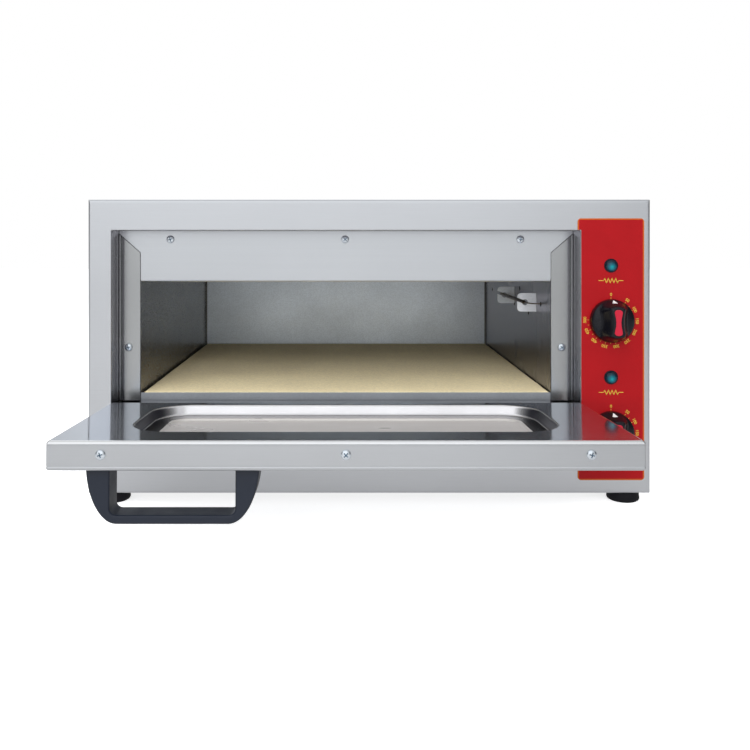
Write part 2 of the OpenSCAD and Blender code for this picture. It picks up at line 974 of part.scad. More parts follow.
module door_edge_screws() {
    color([0.8, 0.81, 0.82])
        door()
            for (x = [-1 : 1])
                screw_y(x * door_screw_x, -door_reach, mid_z, 8);
}

// Arms out of the door's hinged edge, each with a flange inside the door; they come to rest on the stop pins
module hinge_arms() {
    color([0.6, 0.6, 0.58])
        door()
            for (s = [0, 1])
                mirror([s, 0, 0])
                    difference() {
                        union() {
                            slab([-arm_side, -arm_side + arm_t], [arm_front, arm_tip], [-arm_down, arm_up]);
                            slab([-arm_side, -arm_side + 14], [door_rear - sheet - 1.5, door_rear - sheet],
                                [-arm_down, 12]);
                        }
                        rod_x([-arm_side - 1, -arm_side + arm_t + 1], 0, 0, bush_r);
                    }
}

module hinge_bushes() {
    bush_out = arm_side + (bush_l - arm_t) / 2;
    color([0.75, 0.6, 0.35])
        door()
            for (s = [0, 1])
                mirror([s, 0, 0])
                    difference() {
                        rod_x([-bush_out, -bush_out + bush_l], 0, 0, bush_r);
                        rod_x([-bush_out - 1, -bush_out + bush_l + 1], 0, 0, pin_r + run);
                    }
}

// ---------------------------------------------------------------- knobs

// Places a knob's pieces: +Z of the children points out of the fascia
module knob_frame(z) {
    oven()
        translate([control_x, -1, z])
            rotate([90, 0, 0])
                children();
}

ridge_w = 11;
scoop_r = 22;
insert_h = 24.5;

// Skirt and dome, scooped away on both sides of an upright ridge
module knob(z) {
    top = knob_h - 1;
    color([0.05, 0.05, 0.06])
        knob_frame(z)
            difference() {
                rotate_extrude($fn = 72)
                    polygon([[0, 0], [knob_r, 0], [knob_r, 4], [knob_r - 0.8, 9], [knob_r - 2.6, 15],
                        [knob_r - 4.4, top - 2], [knob_r - 6.2, top - 0.4], [knob_r - 7.4, top], [0, top]]);
                for (s = [-1, 1])
                    translate([s * (scoop_r + ridge_w / 2), 0, top + 6])
                        rotate([90, 0, 0])
                            cylinder(r = scoop_r, h = 60, center = true, $fn = 96);
                translate([0, 0, -1])
                    cylinder(r = shaft_r, h = 14);
                translate([0, 0, top - 0.8])
                    linear_extrude(2)
                        insert_outline(0.05);
            }
}

// Waisted insert in the ridge: narrow at its top, wide at its foot
module insert_outline(grow) {
    h = insert_h / 2;
    polygon([[-3.4 - grow, h], [3.4 + grow, h], [2.6 + grow, 2], [2.7 + grow, -2], [4.6 + grow, -h],
        [-4.6 - grow, -h], [-2.7 - grow, -2], [-2.6 - grow, 2]]);
}

module knob_insert(z) {
    color([0.82, 0.19, 0.29])
        knob_frame(z)
            translate([0, 0, knob_h - 1.8])
                linear_extrude(1.1)
                    insert_outline(0);
}

module shaft(z) {
    color([0.7, 0.7, 0.7])
        oven()
            rod_y(control_x, [-14, 14], z, shaft_r);
}

module knob_upper() {
    knob(knob_z[0]);
}

module knob_lower() {
    knob(knob_z[1]);
}

module knob_insert_upper() {
    knob_insert(knob_z[0]);
}

module knob_insert_lower() {
    knob_insert(knob_z[1]);
}

module shaft_upper() {
    shaft(knob_z[0]);
}

module shaft_lower() {
    shaft(knob_z[1]);
}

// ---------------------------------------------------------------- assembly

outer_cover();
front_fascia();
base_panel();
back_panel();
control_bulkhead();
control_label();
top_trim();
side_trim_left();
side_trim_right();
chamber_left_wall();
chamber_right_wall();
chamber_ceiling();
chamber_floor();
chamber_back_wall();
deck_front();
stone_deck();
deck_rails();
lower_element();
upper_element();
lower_element_supports();
upper_element_supports();
bulb_clips();
upper_sensor_bulb();
lower_sensor_bulb();
insulation_top();
insulation_left();
insulation_right();
insulation_back();
insulation_bottom();
thermostat_upper();
thermostat_lower();
lamp_lenses();
lamp_bodies();
terminal_block();
wiring();
cable_gland();
gland_nut();
hinge_bracket_left();
hinge_bracket_right();
hinge_pins();
stop_pins();
feet();
foot_screws();
trim_screws();
back_screws();
door_outer_skin();
door_inner_panel();
door_insulation();
door_handle();
handle_screws();
door_edge_screws();
hinge_arms();
hinge_bushes();
knob_upper();
knob_insert_upper();
shaft_upper();
knob_lower();
knob_insert_lower();
shaft_lower();
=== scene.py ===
import json
from math import asin, cos, hypot, pi, radians, sin, sqrt

import bmesh
import bpy
from mathutils import Matrix, Vector


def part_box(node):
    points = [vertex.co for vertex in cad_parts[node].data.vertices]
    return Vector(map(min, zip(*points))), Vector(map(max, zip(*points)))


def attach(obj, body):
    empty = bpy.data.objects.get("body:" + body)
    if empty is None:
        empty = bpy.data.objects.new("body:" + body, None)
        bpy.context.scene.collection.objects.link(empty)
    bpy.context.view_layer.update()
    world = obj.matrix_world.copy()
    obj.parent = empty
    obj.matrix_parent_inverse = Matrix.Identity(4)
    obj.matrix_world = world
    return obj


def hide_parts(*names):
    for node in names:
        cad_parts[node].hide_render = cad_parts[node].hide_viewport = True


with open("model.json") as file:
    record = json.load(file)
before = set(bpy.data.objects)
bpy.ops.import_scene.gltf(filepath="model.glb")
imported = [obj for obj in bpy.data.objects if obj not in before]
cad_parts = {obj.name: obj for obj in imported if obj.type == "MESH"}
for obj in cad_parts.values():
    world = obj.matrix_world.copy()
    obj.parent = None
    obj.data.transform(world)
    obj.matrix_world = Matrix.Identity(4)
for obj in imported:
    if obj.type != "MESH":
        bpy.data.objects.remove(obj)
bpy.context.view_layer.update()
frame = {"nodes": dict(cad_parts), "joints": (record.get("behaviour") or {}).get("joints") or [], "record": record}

MM = 0.001
WHITE = (1, 1, 1, 1)

# ---- places taken from the frame

FASCIA_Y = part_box("front_fascia")[0].y  # front of the fascia
BASE_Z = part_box("base_panel")[0].z  # bottom of the body
HINGE = next(j for j in frame["joints"] if j["name"] == "door_hinge")
TILT = radians(90 - HINGE["range_deg"][1])  # the open door's slope above horizontal

# millimetres of the body (from the fascia's front and the body's bottom) and of the door
OVEN = Matrix.Translation((0, FASCIA_Y, BASE_Z)) @ Matrix.Scale(MM, 4)
DOOR = (Matrix.Translation(Vector(HINGE["pos_m"])) @ Matrix.Rotation(-TILT, 4, "X")
        @ Matrix.Scale(MM, 4))

# ---- camera: level, with a shifted lens, as in the photograph

IMAGE_PX = 750
FOCAL_PX = 816
CAMERA_DISTANCE = 0.805  # from the fascia
CAMERA_X = -0.0229
CAMERA_HEIGHT = 0.252  # above the body's bottom
VANISHING_X, VANISHING_Y = 346, 238  # pixel that the lens points at
SENSOR_MM = 36


def new_object(name, data):
    thing = bpy.data.objects.new(name, data)
    bpy.context.collection.objects.link(thing)
    return thing


def make_camera():
    data = bpy.data.cameras.new("photo_camera")
    data.sensor_width = SENSOR_MM
    data.lens = SENSOR_MM * FOCAL_PX / IMAGE_PX
    data.shift_x = (IMAGE_PX / 2 - VANISHING_X) / IMAGE_PX
    data.shift_y = -(IMAGE_PX / 2 - VANISHING_Y) / IMAGE_PX
    data.clip_start, data.clip_end = 0.01, 20
    camera = new_object("photo_camera", data)
    camera.location = (CAMERA_X, FASCIA_Y - CAMERA_DISTANCE, BASE_Z + CAMERA_HEIGHT)
    camera.rotation_euler = (pi / 2, 0, 0)
    bpy.context.scene.camera = camera


# ---- shader nodes

def feed(socket, value):
    """Links another socket to this input, or sets the input's value."""
    if isinstance(value, bpy.types.NodeSocket):
        socket.id_data.links.new(value, socket)
    else:
        socket.default_value = value


def node(tree, kind, *ordered, **values):
    """New node: ordered values go to its first inputs, in_ values to inputs by name."""
    made = tree.nodes.new("ShaderNode" + kind)
    for name, value in values.items():
        if not name.startswith("in_"):
            setattr(made, name, value)
    for name, value in values.items():
        if name.startswith("in_"):
            feed(made.inputs[name[3:].replace("_", " ")], value)
    for socket, value in zip(made.inputs, ordered):
        feed(socket, value)
    return made


def maths(operation, first, *others):
    return node(first.id_data, "Math", first, *others, operation=operation).outputs[0]


def tint(colour, factor):
    return node(colour.id_data, "VectorMath", colour, operation="SCALE", in_Scale=factor).outputs[0]


def fit(value, low, high, from_low=0.3, from_high=0.7, curve="LINEAR"):
    """Maps a value to a range, clamped."""
    return node(value.id_data, "MapRange", value, from_low, from_high, low, high,
                interpolation_type=curve).outputs["Result"]


def ramp(value, stops):
    """Colour that runs through the stops as the value goes from 0 to 1."""
    made = node(value.id_data, "ValToRGB", value)
    band = made.color_ramp
    while len(band.elements) > 1:
        band.elements.remove(band.elements[-1])
    band.elements[0].position = stops[0][0]
    band.elements[0].color = (*stops[0][1], 1)
    for place, colour in stops[1:]:
        band.elements.new(place).color = (*colour, 1)
    return made.outputs["Color"]


def axes(tree, space="Object"):
    """The three coordinates of a place, as sockets."""
    return node(tree, "SeparateXYZ", node(tree, "TexCoord").outputs[space]).outputs[:]


def by_ray(others, seen):
    """Camera and transmission rays get one shader, all other rays another."""
    path = node(seen.id_data, "LightPath").outputs
    share = maths("MAXIMUM", path["Is Camera Ray"], path["Is Transmission Ray"])
    return node(seen.id_data, "MixShader", share, others, seen).outputs[0]


# ---- light, backdrop and floor

DOME = ((0.0, 0.5), (0.47, 0.7), (0.5, 1.1), (0.6, 1.1), (0.7, 1.2), (0.8, 1.15), (1.0, 0.72))
DOME_STRENGTH = 0.92
FLOOR_HALF = 6
SEEN_GREY, SEEN_GLOW = 0.86, 0.68  # floor as the camera sees it
BOUNCE_GREY, BOUNCE_GLOW = 0.19, (0.395, 0.27)  # as it lights the part, left and right
LAMPS = (  # name, place, aim, size in metres, watts
    ("key", (-0.9, -1.5, 1.6), (0, 0, 0.1), (1.2, 0.9), 14),
    ("front", (-0.1, -1.6, 0.85), (-0.02, -0.08, 0.12), (0.9, 0.5), 15),
    ("low", (0.0, -1.6, 0.14), (0.08, -0.1, 0.05), (1.1, 0.12), 9),
    ("overhead", (0.1, -0.2, 1.7), (0, 0, 0.2), (1.6, 1.2), 12),
)


def make_world():
    """A pale dome, brightest above the horizon, dimmer to the right and far to the sides.

    The camera sees plain white instead.
    """
    world = bpy.data.worlds.new("studio")
    bpy.context.scene.world = world
    world.use_nodes = True
    tree = world.node_tree
    tree.nodes.clear()
    x, y, z = axes(tree, "Generated")
    dome = ramp(fit(z, 0.0, 1.0, -1.0, 1.0),
                [(place, (value * 0.965, value * 0.985, value)) for place, value in DOME])
    edge = maths("MULTIPLY_ADD", maths("MAXIMUM", y, 0.0), 0.45,
                 maths("ABSOLUTE", x))
    right = fit(x, 1.0, 0.55, 0.23, 0.44)
    sides = fit(edge, 1.0, 0.15, 0.6, 0.93, "SMOOTHSTEP")
    shaded = tint(tint(dome, right), sides)
    light = node(tree, "Background", shaded, DOME_STRENGTH).outputs[0]
    white = node(tree, "Background", WHITE, 1.0).outputs[0]
    node(tree, "OutputWorld", by_ray(light, white))


def area_light(name, place, aim, size, power):
    """Soft lamp that metal doesn't mirror, so it leaves no hard patch in the sheets."""
    data = bpy.data.lights.new(name, "AREA")
    data.shape = "RECTANGLE"
    data.size, data.size_y = size
    data.energy = power
    lamp = new_object(name, data)
    lamp.location = place
    lamp.visible_glossy = False
    lamp.rotation_euler = (Vector(aim) - Vector(place)).to_track_quat("-Z", "Y").to_euler()


def glowing_paint(tree, grey, glow):
    matt = node(tree, "BsdfDiffuse", (grey, grey, grey, 1)).outputs[0]
    return node(tree, "AddShader", matt, node(tree, "Emission", WHITE, glow).outputs[0]).outputs[0]


def make_floor():
    s = FLOOR_HALF
    mesh = bpy.data.meshes.new("floor")
    mesh.from_pydata([(-s, -s, 0), (s, -s, 0), (s, s, 0), (-s, s, 0)], [], [(0, 1, 2, 3)])
    floor = new_object("floor", mesh)
    material = bpy.data.materials.new("pale_floor")
    material.use_nodes = True
    tree = material.node_tree
    tree.nodes.clear()
    bounce = glowing_paint(tree, BOUNCE_GREY, fit(axes(tree)[0], *BOUNCE_GLOW, 0.1, 0.6))
    shown = glowing_paint(tree, SEEN_GREY, SEEN_GLOW)
    node(tree, "OutputMaterial", by_ray(bounce, shown))
    floor.data.materials.append(material)


# ---- kinds of material

MATERIALS = {}


def surface(name, colour, roughness, metallic=0.0, **sockets):
    """Enters a new material with a Principled surface; returns its tree and shader."""
    material = MATERIALS[name] = bpy.data.materials.new(name)
    material.use_nodes = True
    tree = material.node_tree
    shader = tree.nodes["Principled BSDF"]
    shader.inputs["Base Color"].default_value = (*colour, 1)
    shader.inputs["Roughness"].default_value = roughness
    shader.inputs["Metallic"].default_value = metallic
    for socket, value in sockets.items():
        shader.inputs[socket.replace("_", " ")].default_value = value
    return tree, shader


def cells(tree, kind, scale, stretch=(1, 1, 1), **values):
    """Texture in object space; scale is in cells a metre, and stretch slows it along an axis."""
    place = node(tree, "Mapping", node(tree, "TexCoord").outputs["Object"],
                 in_Scale=[scale * s for s in stretch]).outputs[0]
    return node(tree, kind, in_Vector=place, in_Scale=1.0, **values).outputs


def noise(tree, scale, stretch=(1, 1, 1), detail=3.0, roughness=0.5):
    return cells(tree, "TexNoise", scale, stretch, in_Detail=detail, in_Roughness=roughness)["Fac"]


def mottle(base, *tones):
    """Multiplies a colour by several greys, each given as fit() takes it."""
    flat = node(tones[0][0].id_data, "RGB").outputs[0]
    flat.default_value = (*base, 1)
    for tone in tones:
        flat = tint(flat, fit(*tone))
    return flat


def paint(shader, colour, roughness=None):
    feed(shader.inputs["Base Color"], colour)
    if roughness is not None:
        feed(shader.inputs["Roughness"], roughness)


def add_bump(shader, distance, *heights):
    """Bump from pairs of (value, weight)."""
    total = None
    for value, weight in heights:
        scaled = maths("MULTIPLY", value, weight)
        total = scaled if total is None else maths("ADD", total, scaled)
    bump = node(shader.id_data, "Bump", in_Strength=1.0, in_Distance=distance, in_Height=total)
    feed(shader.inputs["Normal"], bump.outputs[0])


def brushed(name, colour, roughness, along="X", grain=0.0000015, contrast=0.012, patch=0.04,
            fine=2600):
    """Satin sheet steel brushed along one axis: fine hairs, longer scratches, faint patches."""
    tree, shader = surface(name, colour, roughness, 1.0)
    slow = [0.012 if axis == along else 1 for axis in "XYZ"]
    hair = noise(tree, fine, slow, 2)
    scratch = noise(tree, fine * 0.27, slow, 4, 0.7)
    cloud = noise(tree, 9)
    tone = mottle(colour, (hair, 1 - contrast, 1 + contrast),
                  (cloud, 1 - patch / 2, 1 + patch / 2),
                  (scratch, 1 - contrast / 2, 1 + contrast / 2))
    rough = maths("ADD", fit(cloud, roughness - 0.015, roughness + 0.015),
                  fit(scratch, -0.007, 0.007))
    paint(shader, tone, rough)
    if grain:
        add_bump(shader, grain, (hair, 1.0), (scratch, 1.5))


def polished(name, colour, roughness, **sockets):
    """Bright sheet with faint waves, smears and hairlines."""
    tree, shader = surface(name, colour, roughness, 1.0, **sockets)
    wave = noise(tree, 14, detail=1)
    smear = noise(tree, 30, (0.35, 1, 1), 4)
    hair = noise(tree, 1800, (0.02, 1, 1), 2)
    paint(shader, mottle(colour, (smear, 0.96, 1.03), (hair, 0.98, 1.02)),
          fit(smear, roughness * 0.7, roughness * 1.5))
    add_bump(shader, 0.000008, (wave, 12.0), (hair, 0.3))


def galvanised(name, colour, roughness=0.42, cell=140, contrast=0.09, stain=0.0, metallic=0.85):
    """Zinc-coated sheet with a fine spangle and cloudy tone; stain adds warm heat marks."""
    tree, shader = surface(name, colour, roughness, metallic)
    spangle = cells(tree, "TexVoronoi", cell)["Color"]
    red, green = node(tree, "SeparateColor", spangle).outputs[:2]
    cloud = noise(tree, 16, detail=5, roughness=0.6)
    fine = noise(tree, 900, detail=2)
    tone = mottle(colour, (red, 1 - contrast, 1 + contrast, 0.0, 1.0),
                  (cloud, 0.9, 1.08), (fine, 0.97, 1.03))
    if stain:
        mask = fit(noise(tree, 5, detail=4), 0.0, stain, 0.45, 0.75)
        tone = node(tree, "Mix", mask, data_type="RGBA", blend_type="MULTIPLY", in_A=tone,
                    in_B=(0.9, 0.78, 0.62, 1)).outputs["Result"]
    paint(shader, tone, fit(green, roughness - 0.07, roughness + 0.07, 0.0, 1.0))
    add_bump(shader, 0.00001, (fine, 1.0), (cloud, 4.0))


def moulded(name, colour, roughness, grain=2400, depth=0.00002, **sockets):
    """Moulded plastic or rubber with a fine texture and slight wear in tone."""
    speck = 0.06
    tree, shader = surface(name, colour, roughness, 0.0, **sockets)
    fine = noise(tree, grain, detail=2)
    cloud = noise(tree, 45, detail=4)
    paint(shader, mottle(colour, (fine, 1 - speck, 1 + speck), (cloud, 1 - speck, 1 + speck)),
          fit(cloud, roughness * 0.85, roughness * 1.2))
    add_bump(shader, depth, (fine, 1.0))


def stone_material():
    """Refractory stone: pale tan, sandy grain, a few darker crumbs and faint bake marks."""
    tree, shader = surface("deck_stone", (0.95, 0.8, 0.52), 0.88)
    grain = noise(tree, 1300, roughness=0.7)
    crumb = noise(tree, 420, detail=2)
    tone = mottle((0.97, 0.83, 0.53), (grain, 0.82, 1.06), (crumb, 0.9, 1.06),
                  (noise(tree, 7, detail=4), 0.93, 1.05))
    paint(shader, tone, fit(crumb, 0.8, 0.95))
    add_bump(shader, 0.00025, (grain, 1.0), (crumb, 1.2))


def wool_material():
    # Kept a dark grey so the gaps where the wool shows read near black: partly the wool's own grey, partly painted
    # shade.
    base = (0.15, 0.148, 0.142)
    tree, shader = surface("mineral_wool", base, 0.95)
    strand = noise(tree, 500, (0.25, 1, 1), 5, 0.7)
    paint(shader, mottle(base, (strand, 0.7, 1.25), (noise(tree, 60), 0.85, 1.1)))
    add_bump(shader, 0.001, (strand, 1.0))


LABEL_RED, LABEL_LINE = (0.262, 0.0045, 0.007), (0.37, 0.08, 0.015, 1)


def label_material():
    """Printed film: red field, with an orange line along its edge."""
    low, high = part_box("control_label")
    tree, shader = surface("label_film", LABEL_RED, 0.36, Specular_IOR_Level=0.16)
    cloud = noise(tree, 40)
    fine = noise(tree, 1500, detail=2)
    red = mottle(LABEL_RED, (cloud, 0.96, 1.04), (fine, 0.97, 1.03))
    x, _, z = axes(tree)
    nearest = None
    for axis, place, sign in ((x, low.x, 1), (x, high.x, -1), (z, low.z, 1), (z, high.z, -1)):
        away = maths("MULTIPLY_ADD", axis, sign, -sign * place)
        nearest = away if nearest is None else maths("SMOOTH_MIN", nearest, away, 1.5 * MM)
    edge = fit(nearest, 1.0, 0.0, 1.1 * MM, 1.5 * MM)
    both = node(tree, "Mix", edge, data_type="RGBA", in_A=red, in_B=LABEL_LINE)
    paint(shader, both.outputs["Result"], fit(cloud, 0.33, 0.42))
    add_bump(shader, 0.000006, (fine, 1.0))


def pan_wall_material():
    """Pressed walls of the pan: bright along its length, with painted shade on the walls that face the ends,
    standing in for dark reflections there.
    """
    tree, shader = surface("pan_wall", (0.7, 0.7, 0.72), 0.16, 0.8)
    # Painted shade: the tone darkens where the surface faces along X, not a change in the metal.
    normal = node(tree, "NewGeometry").outputs["Normal"]
    ends = maths("ABSOLUTE", node(tree, "SeparateXYZ", normal).outputs["X"])
    share = fit(ends, 0.0, 1.0, 0.42, 0.84, "SMOOTHSTEP")
    tone = ramp(share, [(0.0, (0.78, 0.77, 0.79)), (0.5, (0.42, 0.42, 0.43)),
                              (1.0, (0.07, 0.07, 0.085))])
    smear = noise(tree, 60, (0.3, 1, 1), 4)
    paint(shader, tint(tone, fit(smear, 0.95, 1.04)),
          fit(share, 0.17, 0.34, 0.0, 1.0))


def pan_shelf_material():
    """Step of the pan: grey along its middle, with painted shade darkening it towards both ends."""
    tree, shader = surface("pan_shelf", (0.4, 0.4, 0.41), 0.22, 0.9)
    away = maths("ABSOLUTE", maths("SUBTRACT", axes(tree)[0], HINGE["pos_m"][0]))
    # Painted shade: the tone falls off to dark towards both ends of the step.
    tone = ramp(fit(away, 0.0, 1.0, 0.152, 0.176),
                [(0.0, (0.4, 0.39, 0.39)), (0.6, (0.12, 0.12, 0.125)),
                 (1.0, (0.035, 0.035, 0.042))])
    smear = noise(tree, 60, (0.3, 1, 1), 4)
    paint(shader, tint(tone, fit(smear, 0.92, 1.06)), fit(smear, 0.18, 0.28))


LENS_R = 6.9  # flange of a lamp lens, mm


def lens_material():
    """Teal dome: dark rim and crown, with a painted glow low down that stands in for light refracted through it.
    """
    tree, shader = surface("lens", (0.0, 0.1, 0.12), 0.12, Specular_IOR_Level=0.25,
                                     Coat_Weight=0.35, Coat_Roughness=0.03)
    low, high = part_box("lamp_lenses")
    place = node(tree, "TexCoord").outputs["Object"]
    radius = LENS_R * MM
    away = [node(tree, "VectorMath", place, ((low.x + high.x) / 2, low.y, z - 1.6 * MM),
                 operation="DISTANCE").outputs["Value"]
            for z in (low.z + radius, high.z - radius)]
    # Painted light: a brighter teal patch low in each dome, around a point below its middle.
    glow = fit(maths("MINIMUM", *away), 1.0, 0.0, 0.5 * MM, 7.2 * MM)
    band = ramp(glow, [(0.0, (0.0, 0.006, 0.012)), (0.3, (0.0, 0.015, 0.026)),
                             (0.62, (0.0, 0.07, 0.1)), (1.0, (0.001, 0.19, 0.22))])
    fine = noise(tree, 700, detail=2)
    paint(shader, tint(band, fit(fine, 0.9, 1.1)))
    add_bump(shader, 0.00002, (fine, 1.0))


# ---- the materials, by the frame's slots and by finer looks

STEEL = (0.72, 0.735, 0.765)
for make in (pan_wall_material, pan_shelf_material, stone_material, wool_material, label_material,
             lens_material):
    make()
MATERIALS["stone"], MATERIALS["label"] = MATERIALS["deck_stone"], MATERIALS["label_film"]
for name, *values in (
        ("cover_steel", STEEL, 0.33, "Y"),
        ("fascia_steel", STEEL, 0.3, "X"),
        ("trim_steel", (0.7, 0.72, 0.75), 0.29, "X", 0, 0.008, 0.03, 420),
        # Darker copy of the trim steel for the side trims: painted shade.
        ("side_trim_steel_painted_shade", (0.51, 0.52, 0.525), 0.25, "Z", 0, 0.01, 0.04, 420),
        # Darker copy of the body's steel for the door's skin and the lower part of its rolled edge: painted shade.
        ("door_steel", (0.64, 0.655, 0.68), 0.3, "X"),
        # Near-white copy of the steel for the top of the door's rolled front edge: a painted highlight.
        ("edge_steel_painted_highlight", (0.93, 0.935, 0.95), 0.26, "X"),
        # Dark copy of the chamber sheet for the chamber's right wall: painted shade.
        ("chamber_right", (0.2, 0.19, 0.22), 0.27, "Z", 0.000004, 0.03, 0.1),
        # Darker copy of the fascia steel for the mouth's reveal walls: painted shade in the recess.
        ("reveal_painted_shade", (0.34, 0.33, 0.36), 0.27, "Z")):
    brushed(name, *values)
for name, colour, roughness, sockets in (
        ("door_mirror_steel", (0.6, 0.655, 0.76), 0.09,
         {"Coat_Weight": 1.0, "Coat_Roughness": 0.5, "Coat_IOR": 1.62}),
        ("pan_floor", (0.56, 0.535, 0.52), 0.35, {"Metallic": 0.4}),
        # Darker blue-grey steel for the inside of the screws' cross recess: painted shade in the recess.
        ("recess_painted_shade", (0.3, 0.43, 0.56), 0.4, {}),
        ("screw_steel", (0.86, 0.92, 0.98), 0.24, {})):
    polished(name, colour, roughness, **sockets)
for name, *values in (  # cell, contrast, stain, metallic last
        ("galvanised", (0.45, 0.46, 0.47)),
        # chamber_sheet (side walls) dark and chamber_back (back wall) much brighter: shaded and lit copies of one
        # sheet, painted shade and painted light.
        ("chamber_sheet", (0.175, 0.175, 0.185), 0.3, 900, 0.03, 0.2),
        ("lip_steel", (0.35, 0.37, 0.4), 0.35, 900, 0.04, 0.0, 0.6),
        ("chamber_back", (0.66, 0.72, 0.78), 0.36, 900, 0.08, 0.08, 0.75),
        ("clip_steel", (0.7, 0.72, 0.75), 0.45, 500, 0.04, 0.0, 0.5),
        # Darker, less metallic copy of the tab steel for the rear tab: painted shade.
        ("clip_rear_painted_shade", (0.6, 0.64, 0.68), 0.42, 500, 0.04, 0.0, 0.35),
        ("zinc_steel", (0.55, 0.56, 0.56), 0.35, 400),
        ("dark_metal", (0.13, 0.105, 0.085), 0.38, 600),
        ("element", (0.06, 0.055, 0.055), 0.55, 300),
        ("bush_brass", (0.62, 0.45, 0.2), 0.3, 500)):
    galvanised(name, *values)
for name, colour, roughness, grain, depth, specular in (
        ("white_plastic", (0.72, 0.7, 0.64), 0.5, 2400, 0.00002, 0.5),
        ("ceramic_block", (0.78, 0.75, 0.66), 0.25, 2400, 0.00002, 0.5),
        ("wire", (0.3, 0.02, 0.015), 0.45, 2400, 0.00002, 0.5),
        ("black_plastic", (0.018, 0.018, 0.02), 0.42, 2400, 0.00002, 0.5),
        ("rubber", (0.006, 0.006, 0.008), 0.6, 1500, 0.00005, 0.2),
        ("handle_plastic", (0.006, 0.009, 0.017), 0.4, 3000, 0.00002, 0.5),
        ("knob_plastic", (0.004, 0.004, 0.006), 0.2, 2000, 0.000004, 0.32),
        ("knob_insert", (0.37, 0.012, 0.03), 0.3, 1500, 0.00001, 0.25),
        ("printed_ink", (0.46, 0.31, 0.04), 0.4, 1500, 0.000005, 0.2),
        ("white_print", (0.62, 0.62, 0.62), 0.35, 1500, 0.000005, 0.5),
        ("hole_dark", (0.006, 0.006, 0.007), 0.9, 1500, 0.00001, 0.5)):
    moulded(name, colour, roughness, grain, depth, Specular_IOR_Level=specular)


# ---- mesh building, in millimetres of the body or of the door

IDENTITY = Matrix.Identity(4)
FROM_X = Matrix(((0, 0, 1, 0), (1, 0, 0, 0), (0, 1, 0, 0), (0, 0, 0, 1)))  # prism along X
FROM_Y = Matrix(((1, 0, 0, 0), (0, 0, 1, 0), (0, 1, 0, 0), (0, 0, 0, 1)))  # prism along Y
FRONT = (0, -1, 0)
REPLACED = set()  # nodes that finer pieces stand for


def from_world(node_name, place=OVEN):
    """A node's box in the millimetres of that frame."""
    back = place.inverted()
    low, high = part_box(node_name)
    return back @ low, back @ high


def middle(node_name):
    """X and Z of the middle of a node's box."""
    low, high = from_world(node_name)
    return (low.x + high.x) / 2, (low.z + high.z) / 2


def extent(node_name, place):
    """Lowest and highest values along each axis of that frame, from a node's own points."""
    back = place.inverted()
    points = [back @ v.co for v in frame["nodes"][node_name].data.vertices]
    return [[end(p[axis] for p in points) for axis in range(3)] for end in (min, max)]


def cosd(angle):
    return cos(radians(angle))


def sind(angle):
    return sin(radians(angle))


def turns(steps):
    return [2 * pi * i / steps for i in range(steps)]


def facing(x, y, z, quarter=1, axis="X"):
    """Place whose local Z points to the front, or to another side."""
    return Matrix.Translation((x, y, z)) @ Matrix.Rotation(quarter * pi / 2, 4, axis)


def arc(centre, radius, start, end, steps):
    """Points of an arc in a plane, angles in degrees."""
    angles = [start + (end - start) * i / steps for i in range(steps + 1)]
    return [(centre[0] + radius * cosd(a), centre[1] + radius * sind(a)) for a in angles]


def rounded_rectangle(low, high, radius, steps=5):
    """Counterclockwise outline with round corners; the same count of points for any radius."""
    (x0, y0), (x1, y1) = low, high
    points = []
    for cx, cy, start in ((x1 - radius, y0 + radius, -90), (x1 - radius, y1 - radius, 0),
                          (x0 + radius, y1 - radius, 90), (x0 + radius, y0 + radius, 180)):
        points += arc((cx, cy), radius, start, start + 90, steps)
    return points


def inset_ring(inset, low, high, radius, steps):
    return rounded_rectangle((low[0] + inset, low[1] + inset), (high[0] - inset, high[1] - inset),
                             radius, steps)


def skin(mesh, rows):
    """Faces between neighbouring rows of points, open at all sides."""
    rows = [[mesh.verts.new(point) for point in row] for row in rows]
    for first, second in zip(rows, rows[1:]):
        for j in range(len(first) - 1):
            mesh.faces.new((first[j], first[j + 1], second[j + 1], second[j]))


def loft(mesh, rings, cap_first=False, cap_last=False):
    """Skins closed rings of equal length, each a list of 3-D points."""
    rows = [[mesh.verts.new(p) for p in ring] for ring in rings]
    count = len(rows[0])
    for upper, lower in zip(rows, rows[1:]):
        for i in range(count):
            j = (i + 1) % count
            mesh.faces.new((upper[i], upper[j], lower[j], lower[i]))
    if cap_first:
        mesh.faces.new(rows[0])
    if cap_last:
        mesh.faces.new(rows[-1])


def solid(mesh, rings):
    loft(mesh, rings, True, True)


def lathe(mesh, profile, place, steps=40):
    """Solid of revolution about local Z; the profile runs from axis to axis as (radius, height)."""
    solid(mesh, [[place @ Vector((radius * cos(a), radius * sin(a), height))
                  for a in turns(steps)] for radius, height in profile])


def extrude_outline(mesh, outline, place, low, high):
    """Prism from a 2-D outline, between two heights along local Z."""
    solid(mesh, [[place @ Vector((x, y, z)) for x, y in outline] for z in (low, high)])


def cuboid(mesh, x, y, z):
    outline = [(x[0], y[0]), (x[1], y[0]), (x[1], y[1]), (x[0], y[1])]
    extrude_outline(mesh, outline, IDENTITY, z[0], z[1])


def to_object(name, mesh):
    """Object from a bmesh, which is freed."""
    data = bpy.data.meshes.new(name)
    mesh.to_mesh(data)
    mesh.free()
    return new_object(name, data)


def apply_modifiers(thing):
    """Bakes the object's modifiers into its mesh."""
    graph = bpy.context.evaluated_depsgraph_get()
    graph.update()
    baked = bpy.data.meshes.new_from_object(thing.evaluated_get(graph))
    thing.modifiers.clear()
    thing.data = baked


def add_shell(thing, thickness, even):
    shell = thing.modifiers.new("thickness", "SOLIDIFY")
    shell.thickness = thickness * MM
    shell.offset = -1
    shell.use_even_offset = even


def add_cut(thing, knife):
    cut = thing.modifiers.new("cut", "BOOLEAN")
    cut.object = knife
    cut.solver = "EXACT"
    return cut


